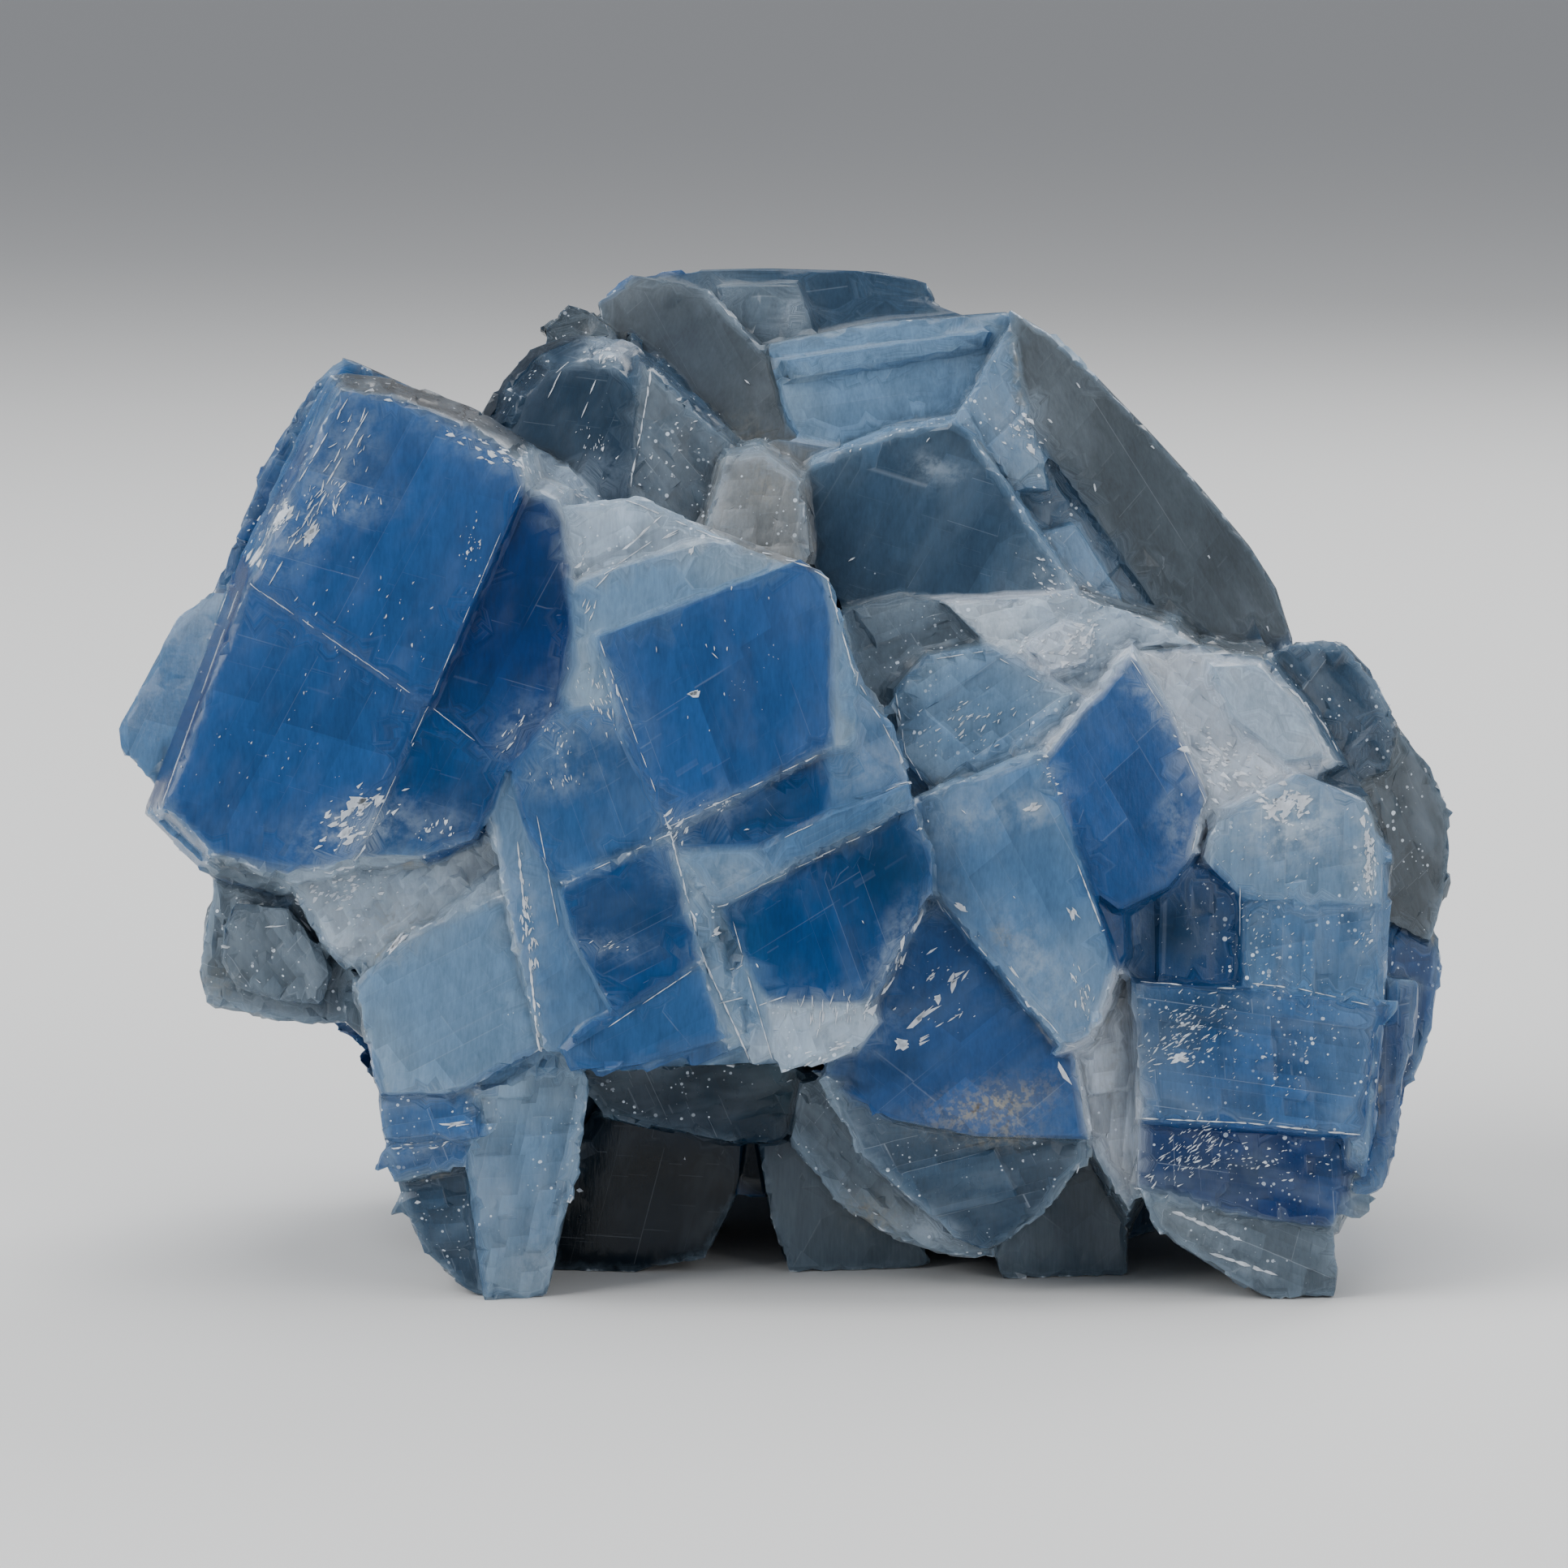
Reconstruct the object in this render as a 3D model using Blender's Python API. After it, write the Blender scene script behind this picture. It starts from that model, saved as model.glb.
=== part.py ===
"""Blue calcite: one cluster of cleavage rhombs grown together, standing on its own broken base.

The front of the cluster is drawn on a square sheet at full size, as it shows from a point VIEW_DISTANCE away
that looks down on it by VIEW_TIP. Each corner of an outline is (across, down) in millimetres from the sheet's
top left corner. A cell is one flat cleavage face and the block of calcite behind it. Cells of one crystal lie
parallel, a ledge apart. The back of the cluster is made of true calcite rhombs with terraces on their faces.
The frame is in metres, +Z up, +X to the right of the drawing and +Y away from the viewer, and its origin is in
the middle of the base.
"""

import math
from dataclasses import dataclass, field

import bmesh
import bpy
from mathutils import Euler, Matrix, Vector

# Driving dimensions, in millimetres and degrees
MM = 0.001
SHEET = 96.6
TABLE_LINE = 80.0
VIEW_DISTANCE = 362.0
VIEW_TIP = 8.0
BASE_MIDDLE = Vector((0.05, 17.69, 0.0))
BLANK = 160.0
CELL_THICKNESS = 9.0
RHOMB_CORNER_ANGLE = 101.92
TERRACE_RISE = 0.9
TERRACE_SHARE = 0.7
TERRACE_SETBACK = 0.35
WELD = 0.00002

# The finish of the stone
BLUE = (0.16, 0.29, 0.52, 1.0)
ROUGHNESS = 0.32

# Directions of the drawing in the row frame
TIP = math.radians(VIEW_TIP)
RIGHT = Vector((1.0, 0.0, 0.0))
INTO = Vector((0.0, math.cos(TIP), -math.sin(TIP)))
UP = Vector((0.0, math.sin(TIP), math.cos(TIP)))
SHEET_MIDDLE = Vector((0.0, 0.0, (TABLE_LINE - SHEET / 2) * math.cos(TIP)))
EYE = SHEET_MIDDLE - INTO * VIEW_DISTANCE


@dataclass
class Crystal:
    """Cells that share one cleavage plane. The plane passes depth behind the sheet where anchor is drawn, and
    is turned to the right by turn and tipped up by tip. Side faces open outwards by flare, or close in if it is
    negative. A cell is (rise above the plane, outline)."""

    anchor: tuple
    depth: float
    turn: float
    tip: float
    cells: dict = field(default_factory=dict)
    flare: float = 4.0
    thickness: float = CELL_THICKNESS


def sight_line(across, down):
    """The direction from the eye through a point of the sheet."""
    return INTO * VIEW_DISTANCE + RIGHT * (across - SHEET / 2) + UP * (SHEET / 2 - down)


def seen_at(across, down, depth):
    """The point that is drawn at (across, down) and lies depth behind the sheet."""
    return EYE + sight_line(across, down) * ((VIEW_DISTANCE + depth) / VIEW_DISTANCE)


def facing(turn, tip):
    """The unit normal of a face turned to the right and tipped up from facing the viewer."""
    turned = -INTO * math.cos(math.radians(turn)) + RIGHT * math.sin(math.radians(turn))
    return turned * math.cos(math.radians(tip)) + UP * math.sin(math.radians(tip))


def on_plane(across, down, point, normal):
    """Where the sight line through a point of the sheet meets a plane."""
    line = sight_line(across, down)
    return EYE + line * ((point - EYE).dot(normal) / line.dot(normal))


def cleave(block, point, normal):
    """Splits a block along a plane, drops what lies on the normal's side and closes the cut."""
    whole = block.verts[:] + block.edges[:] + block.faces[:]
    cut = bmesh.ops.bisect_plane(
        block, geom=whole, dist=1e-5, plane_co=point, plane_no=normal, clear_outer=True
    )
    rim = [item for item in cut["geom_cut"] if isinstance(item, bmesh.types.BMEdge)]
    if rim:
        bmesh.ops.edgeloop_fill(block, edges=rim)


def cell_mesh(crystal, rise, outline):
    """A blank cleaved along the cell's face, its sides and its back."""
    normal = facing(crystal.turn, crystal.tip)
    point = seen_at(*crystal.anchor, crystal.depth) + normal * rise
    corners = [on_plane(across, down, point, normal) for across, down in outline]
    middle = sum(corners, Vector()) / len(corners)
    block = bmesh.new()
    bmesh.ops.create_cube(block, size=BLANK)
    bmesh.ops.translate(block, verts=block.verts, vec=middle)
    cleave(block, point, normal)
    cleave(block, middle + INTO * crystal.thickness, INTO)
    for here, there in zip(corners, corners[1:] + corners[:1]):
        along = (there - here).normalized()
        outward = along.cross(normal)
        if outward.dot(here - middle) < 0:
            outward.negate()
        sight = (here - EYE).normalized()
        side = along.cross(sight + outward * math.tan(math.radians(crystal.flare)))
        if side.dot(outward) < 0:
            side.negate()
        cleave(block, here, side)
    return block


def rhomb_edges():
    """The three edge directions that meet at the blunt corner of a calcite rhomb, about +Z."""
    slope = math.acos(math.sqrt((2 * math.cos(math.radians(RHOMB_CORNER_ANGLE)) + 1) / 3))
    return [
        Vector((math.sin(slope) * math.cos(third), math.sin(slope) * math.sin(third), math.cos(slope)))
        for third in (0.0, math.tau / 3, 2 * math.tau / 3)
    ]


def rhomb_mesh(middle, edges, turned, terraces):
    """A cleavage rhomb whose faces carry terraces, each smaller than the last and pushed towards one corner."""
    block = bmesh.new()
    directions = rhomb_edges()
    for level in range(terraces + 1):
        for grown in range(3) if level else (0,):
            share = TERRACE_SHARE**level
            lengths = [length * (1.0 if way == grown else share) for way, length in enumerate(edges)]
            lengths[grown] += 2 * TERRACE_RISE * level
            made = bmesh.ops.create_cube(block, size=1.0)
            columns = [direction * length for direction, length in zip(directions, lengths)]
            bmesh.ops.transform(block, verts=made["verts"], matrix=Matrix(columns).transposed().to_4x4())
            for way in range(3) if level else ():
                room = 0.0 if way == grown else edges[way] * (1.0 - share) / 2 - TERRACE_SETBACK * level
                side = 1 if way == (grown + 1) % 3 else -1
                bmesh.ops.translate(block, verts=made["verts"], vec=directions[way] * room * side)
    tilt = Euler([math.radians(angle) for angle in turned]).to_matrix().to_4x4()
    bmesh.ops.transform(block, verts=block.verts, matrix=Matrix.Translation(Vector(middle)) @ tilt)
    return block


def left_crystal():
    """The big deep blue rhomb at the left, crossed by two cleavage cracks, with its pale flange behind."""
    return {
        "left_face": Crystal(
            anchor=(22.0, 38.0),
            depth=-3.6,
            turn=-5.0,
            tip=4.0,
            flare=9.5,
            thickness=7.0,
            cells={
                "upper": (0.0, [
                    (20.9, 23.9), (24.0, 24.3), (28.5, 26.0), (32.0, 28.2), (32.4, 30.0), (26.4, 43.5),
                    (15.3, 35.9),
                ]),
                "lower": (-0.25, [
                    (15.3, 35.7), (26.6, 43.5), (23.5, 49.5), (22.0, 53.0), (17.6, 53.9), (13.1, 52.7),
                    (10.0, 49.7),
                ]),
                "dark_corner": (-0.75, [
                    (30.0, 29.0), (34.4, 30.8), (35.0, 35.0), (35.2, 39.5), (34.4, 43.2), (32.2, 46.5),
                    (31.2, 47.2), (25.0, 44.0),
                ]),
                "lower_corner": (-0.55, [
                    (26.0, 43.2), (31.5, 47.2), (30.3, 49.5), (29.5, 51.5), (26.0, 52.8), (22.0, 53.0),
                    (22.8, 49.3),
                ]),
            },
        ),
        "left_body": Crystal(
            anchor=(22.0, 38.0),
            depth=3.6,
            turn=-5.0,
            tip=4.0,
            flare=-4.0,
            thickness=14.0,
            cells={
                "body": (0.0, [
                    (21.2, 21.9), (29.5, 25.7), (35.0, 28.7), (38.0, 32.0), (37.0, 45.0), (30.0, 54.5),
                    (17.8, 55.6), (13.1, 54.2), (9.6, 50.2), (9.5, 48.2), (13.1, 36.5), (16.2, 28.7),
                    (19.6, 23.4),
                ]),
            },
        ),
        "left_flange": Crystal(
            anchor=(10.0, 44.0),
            depth=4.4,
            turn=-24.0,
            tip=6.0,
            flare=-12.0,
            thickness=13.0,
            cells={
                "flange": (0.0, [
                    (13.1, 36.4), (10.7, 38.3), (7.2, 44.9), (7.5, 46.5), (9.5, 48.6), (15.0, 50.0),
                    (16.5, 37.0),
                ]),
            },
        ),
    }


def lower_left_crystals():
    """The pale block below it, the ledges and broken prong that it stands on, and the round lump at the edge."""
    return {
        "pale_block": Crystal(
            anchor=(28.0, 61.0),
            depth=-3.2,
            turn=-8.0,
            tip=3.0,
            flare=-3.0,
            cells={
                "pale_face": (0.0, [
                    (21.7, 60.5), (25.0, 57.4), (31.6, 54.9), (32.4, 56.5), (32.8, 59.5), (33.4, 64.6),
                    (28.0, 67.4), (23.4, 67.5), (22.5, 64.3),
                ]),
                "milky_shoulder": (-0.6, [
                    (17.6, 53.9), (22.0, 52.6), (30.0, 51.3), (31.4, 54.0), (31.6, 55.6), (25.0, 58.4),
                    (22.0, 60.6), (20.0, 58.5),
                ]),
                "ledge_top": (-0.8, [
                    (23.1, 67.2), (29.5, 66.9), (29.4, 69.8), (23.6, 70.3),
                ]),
                "ledge_middle": (-1.5, [
                    (23.5, 70.0), (29.3, 69.4), (29.0, 71.9), (24.2, 72.9),
                ]),
            },
        ),
        "prong": Crystal(
            anchor=(28.0, 74.0),
            depth=-0.6,
            turn=-10.0,
            tip=-14.0,
            flare=-5.0,
            thickness=13.0,
            cells={
                "prong_left": (0.0, [
                    (24.1, 72.6), (29.2, 71.6), (30.5, 76.0), (30.4, 80.4), (28.0, 79.0), (25.9, 77.2),
                    (25.2, 75.2),
                ]),
            },
        ),
        "prong_flank": Crystal(
            anchor=(32.0, 72.0),
            depth=-1.6,
            turn=14.0,
            tip=-10.0,
            flare=-5.0,
            thickness=14.0,
            cells={
                "prong_right": (0.0, [
                    (29.3, 67.3), (35.0, 64.4), (36.4, 66.5), (35.8, 70.0), (35.1, 74.0), (33.6, 80.6),
                    (29.8, 80.6), (28.7, 72.0),
                ]),
            },
        ),
        "left_lump": Crystal(
            anchor=(17.0, 59.0),
            depth=3.4,
            turn=-16.0,
            tip=-6.0,
            flare=-8.0,
            thickness=15.0,
            cells={
                "lump": (0.0, [
                    (13.1, 54.0), (18.0, 54.5), (22.0, 60.0), (21.0, 63.15), (17.6, 63.0), (15.0, 62.5),
                    (12.6, 61.4), (12.15, 59.5), (12.6, 57.0),
                ]),
                "lump_core": (1.3, [
                    (14.4, 55.6), (17.8, 55.8), (20.6, 59.8), (19.8, 61.9), (17.2, 61.7), (14.6, 60.9),
                    (13.6, 59.3), (13.8, 57.2),
                ]),
            },
        ),
    }


def centre_crystal():
    """The broad block in the middle, a grid of cleavage cells a ledge apart with a saw-toothed lower edge."""
    return {
        "centre_face": Crystal(
            anchor=(44.0, 48.0),
            depth=-5.6,
            turn=-3.0,
            tip=3.0,
            flare=-4.0,
            cells={
                "main": (0.0, [
                    (36.8, 39.2), (49.3, 34.4), (50.8, 35.5), (51.2, 38.0), (51.2, 46.2), (41.3, 51.2),
                    (38.5, 45.3),
                ]),
                "top_ledge": (-0.5, [
                    (35.1, 35.9), (44.0, 33.1), (45.3, 33.6), (49.3, 34.5), (43.0, 37.2), (36.8, 39.5),
                    (35.3, 39.5),
                ]),
                "crown": (-1.0, [
                    (34.8, 31.2), (39.6, 30.6), (42.5, 32.0), (45.5, 33.5), (38.0, 36.2), (35.1, 37.0),
                ]),
                "left_neck": (-0.5, [
                    (35.2, 39.4), (37.2, 39.0), (39.4, 45.5), (34.0, 47.5), (34.5, 43.3),
                ]),
                "left_upper": (-0.4, [
                    (34.2, 43.9), (38.8, 43.5), (41.4, 51.4), (34.5, 54.5), (32.6, 51.5), (31.4, 47.2),
                ]),
                "deep_step": (-0.55, [
                    (41.2, 51.3), (51.2, 46.1), (51.4, 50.3), (47.0, 52.3), (42.0, 52.8),
                ]),
                "pale_step_left": (-0.25, [
                    (41.7, 52.6), (47.0, 52.2), (48.5, 53.6), (44.0, 56.0),
                ]),
                "pale_step_right": (-0.2, [
                    (46.6, 52.3), (51.4, 50.1), (56.0, 48.2), (56.3, 49.6), (47.5, 54.2),
                ]),
                "deep_cell": (-0.15, [
                    (34.5, 54.5), (41.3, 51.4), (43.3, 59.2), (37.8, 62.4), (35.2, 57.6),
                ]),
                "left_column": (-0.9, [
                    (30.1, 50.4), (31.4, 47.4), (33.4, 51.4), (37.9, 62.4), (34.6, 64.8), (33.4, 64.8),
                    (31.9, 59.0),
                ]),
                "foot_cell": (-0.45, [
                    (37.7, 62.3), (43.3, 59.2), (45.1, 64.6), (43.2, 65.2), (40.3, 65.5), (37.0, 66.3),
                    (35.3, 66.8), (34.6, 64.6),
                ]),
                "dark_cell": (-0.7, [
                    (44.0, 55.9), (56.3, 49.6), (57.4, 52.3), (57.5, 55.0), (55.8, 58.0), (53.5, 61.8),
                    (47.2, 61.8), (45.8, 59.0),
                ]),
                "white_foot": (-0.95, [
                    (47.2, 61.5), (53.5, 61.5), (54.2, 63.0), (52.5, 65.0), (50.0, 65.6), (48.1, 66.2),
                ]),
            },
        ),
        "centre_ladder": Crystal(
            anchor=(45.5, 60.0),
            depth=-5.0,
            turn=-3.0,
            tip=3.0,
            flare=-4.0,
            cells={
                f"rung_{step}": (
                    (0.0, -0.45, 0.1, -0.35, 0.05)[step],
                    [(43.4 + 0.56 * step, 56.3 + 1.84 * step), (44.6 + 0.62 * step, 55.9 + 1.8 * step),
                     (45.3 + 0.62 * step, 57.9 + 1.8 * step), (44.1 + 0.56 * step, 58.3 + 1.84 * step)],
                )
                for step in range(5)
            },
        ),
        "centre_teeth": Crystal(
            anchor=(40.0, 65.5),
            depth=-4.6,
            turn=-3.0,
            tip=-6.0,
            flare=-6.0,
            thickness=7.0,
            cells={
                f"tooth_{count}": (
                    0.0,
                    [(36.2 + 2.9 * count, 65.3 - 0.35 * count), (39.4 + 2.9 * count, 64.1 - 0.35 * count),
                     (39.6 + 2.9 * count, 65.2 - 0.3 * count), (36.8 + 2.9 * count, 66.5 - 0.35 * count)],
                )
                for count in range(3)
            },
        ),
        "centre_edge": Crystal(
            anchor=(52.0, 44.0),
            depth=-5.4,
            turn=9.0,
            tip=3.0,
            flare=-2.0,
            cells={
                "upper_edge": (0.0, [
                    (50.4, 35.0), (51.0, 35.6), (52.0, 38.7), (52.7, 42.2), (52.8, 46.0), (50.5, 46.5),
                ]),
                "lower_edge": (-0.3, [
                    (50.9, 46.2), (52.6, 42.2), (54.9, 44.7), (56.1, 48.1), (56.2, 49.5), (51.4, 52.0),
                ]),
            },
        ),
        "centre_body": Crystal(
            anchor=(44.0, 48.0),
            depth=-2.4,
            turn=-3.0,
            tip=3.0,
            flare=-8.0,
            thickness=20.0,
            cells={
                "body": (0.0, [
                    (35.0, 31.5), (39.5, 31.0), (50.0, 34.9), (54.6, 44.5), (57.2, 55.0), (53.0, 64.0),
                    (48.0, 65.6), (36.0, 65.9), (31.2, 50.5),
                ]),
            },
        ),
    }


def lower_centre_crystals():
    """The dark rhomb under the middle with its rounded rim, the slab beside it and the broken pieces behind."""
    return {
        "keel_upper": Crystal(
            anchor=(59.0, 63.0),
            depth=-3.6,
            turn=2.0,
            tip=9.0,
            flare=1.0,
            thickness=13.0,
            cells={
                "keel_face": (0.0, [
                    (57.4, 55.3), (60.0, 58.2), (66.3, 64.8), (67.2, 70.2), (60.0, 70.0), (55.0, 69.0),
                    (50.6, 66.2),
                ]),
            },
        ),
        "keel_lower": Crystal(
            anchor=(60.0, 69.6),
            depth=-3.0,
            turn=3.0,
            tip=-20.0,
            flare=-4.0,
            thickness=13.0,
            cells={
                "keel_under": (0.0, [
                    (50.6, 66.2), (67.2, 70.0), (66.2, 72.2), (64.4, 74.6), (62.2, 76.4), (60.6, 77.0),
                    (58.6, 76.2), (53.0, 71.2),
                ]),
            },
        ),
        "keel_rim": Crystal(
            anchor=(55.0, 73.0),
            depth=1.2,
            turn=-10.0,
            tip=-12.0,
            flare=-4.0,
            thickness=13.0,
            cells={
                "rim": (0.0, [
                    (49.2, 66.6), (53.0, 66.4), (60.0, 70.0), (61.4, 77.6), (58.0, 77.3), (55.0, 76.2),
                    (52.0, 74.6), (48.7, 70.0),
                ]),
            },
        ),
        "corner_wedge": Crystal(
            anchor=(66.0, 76.0),
            depth=5.4,
            turn=8.0,
            tip=-6.0,
            flare=-3.0,
            thickness=12.0,
            cells={
                "wedge": (0.0, [
                    (61.2, 77.0), (64.5, 73.3), (67.3, 70.6), (69.4, 73.8), (69.7, 79.2), (61.8, 79.2),
                ]),
            },
        ),
        "upright_slab": Crystal(
            anchor=(68.8, 67.0),
            depth=-1.2,
            turn=12.0,
            tip=0.0,
            flare=3.0,
            thickness=12.0,
            cells={
                "slab": (0.0, [
                    (67.0, 63.5), (68.9, 59.0), (70.4, 62.5), (70.2, 73.0), (69.5, 74.8), (67.2, 70.7),
                    (66.2, 66.5),
                ]),
                "slab_edge": (-1.0, [
                    (65.4, 64.0), (67.6, 61.0), (68.4, 70.0), (67.0, 71.0), (65.8, 68.0),
                ]),
            },
        ),
        "back_foot_left": Crystal(
            anchor=(39.5, 73.0),
            depth=6.6,
            turn=-6.0,
            tip=-4.0,
            flare=-5.0,
            thickness=16.0,
            cells={
                "dark_piece": (0.0, [
                    (36.7, 68.2), (43.5, 67.9), (45.9, 70.0), (45.3, 74.0), (43.6, 77.4), (37.8, 78.8),
                    (33.9, 79.4), (34.0, 72.0),
                ]),
            },
        ),
        "back_foot_middle": Crystal(
            anchor=(51.5, 74.0),
            depth=6.8,
            turn=8.0,
            tip=-8.0,
            flare=-5.0,
            thickness=16.0,
            cells={
                "middle_piece": (0.0, [
                    (45.7, 69.7), (52.0, 70.6), (55.0, 74.0), (57.5, 77.8), (53.0, 79.0), (48.0, 78.6),
                    (47.4, 75.0),
                ]),
            },
        ),
        "overhang": Crystal(
            anchor=(42.0, 68.0),
            depth=3.6,
            turn=0.0,
            tip=-16.0,
            flare=-6.0,
            thickness=15.0,
            cells={
                "under_centre": (0.0, [
                    (34.8, 65.0), (48.0, 64.6), (51.0, 67.0), (48.0, 70.5), (45.0, 70.5), (37.0, 68.8),
                ]),
            },
        ),
    }


def right_middle_crystals():
    """The milky block, the blue pointed crystal and the grey broken blocks above them."""
    return {
        "milky_block": Crystal(
            anchor=(62.0, 54.0),
            depth=-4.2,
            turn=-8.0,
            tip=5.0,
            flare=6.0,
            cells={
                "milky_face": (0.0, [
                    (56.5, 49.2), (60.0, 47.9), (64.1, 46.3), (66.2, 51.5), (68.8, 59.7), (67.2, 63.8),
                    (65.6, 64.5), (57.5, 54.9),
                ]),
            },
        ),
        "pointed_crystal": Crystal(
            anchor=(69.5, 49.0),
            depth=-3.4,
            turn=9.0,
            tip=6.0,
            flare=8.0,
            cells={
                "pointed_face": (0.0, [
                    (69.7, 40.2), (72.0, 43.7), (74.4, 49.2), (73.6, 52.5), (72.0, 54.6), (69.0, 56.1),
                    (66.6, 54.2), (64.2, 46.6),
                ]),
                "pointed_skirt": (-0.7, [
                    (65.0, 49.0), (69.0, 54.0), (69.4, 58.8), (68.4, 60.5), (67.0, 56.5),
                ]),
            },
        ),
        "grey_block": Crystal(
            anchor=(61.0, 44.0),
            depth=-0.8,
            turn=-6.0,
            tip=10.0,
            flare=8.0,
            cells={
                "grey_face": (0.0, [
                    (55.0, 42.5), (57.0, 40.4), (60.8, 39.7), (66.5, 42.7), (67.6, 44.3), (64.1, 46.6),
                    (60.0, 48.1), (57.5, 48.8), (55.6, 46.7),
                ]),
                "grey_lip": (-0.8, [
                    (54.9, 43.0), (56.6, 45.0), (59.0, 48.3), (57.5, 49.3), (55.4, 48.0),
                ]),
            },
        ),
        "grey_shelf": Crystal(
            anchor=(57.0, 40.0),
            depth=1.8,
            turn=-4.0,
            tip=16.0,
            flare=6.0,
            cells={
                "shelf_face": (0.0, [
                    (51.9, 37.6), (55.5, 36.7), (58.8, 37.2), (64.0, 40.0), (62.5, 41.8), (55.0, 44.5),
                    (53.0, 42.5),
                ]),
            },
        ),
        "rough_saddle": Crystal(
            anchor=(67.0, 39.0),
            depth=1.0,
            turn=6.0,
            tip=20.0,
            flare=6.0,
            thickness=12.0,
            cells={
                "saddle": (0.0, [
                    (58.2, 37.1), (66.5, 36.6), (72.0, 38.4), (73.9, 39.9), (67.5, 43.6), (62.5, 41.4),
                ]),
                "saddle_knob": (0.7, [
                    (63.4, 39.6), (65.4, 38.3), (67.3, 38.9), (67.0, 40.8), (64.6, 41.4),
                ]),
            },
        ),
        "white_knot": Crystal(
            anchor=(76.0, 45.0),
            depth=-0.8,
            turn=8.0,
            tip=13.0,
            flare=5.0,
            thickness=12.0,
            cells={
                "knot": (0.0, [
                    (69.7, 40.2), (73.9, 39.8), (78.0, 40.6), (80.6, 43.6), (82.7, 47.2), (80.0, 48.2),
                    (75.0, 50.3), (74.0, 49.2),
                ]),
                "lens": (0.6, [
                    (74.6, 41.0), (77.6, 41.0), (80.2, 43.8), (81.6, 46.6), (79.2, 46.8), (76.0, 44.2),
                ]),
            },
        ),
    }


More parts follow.
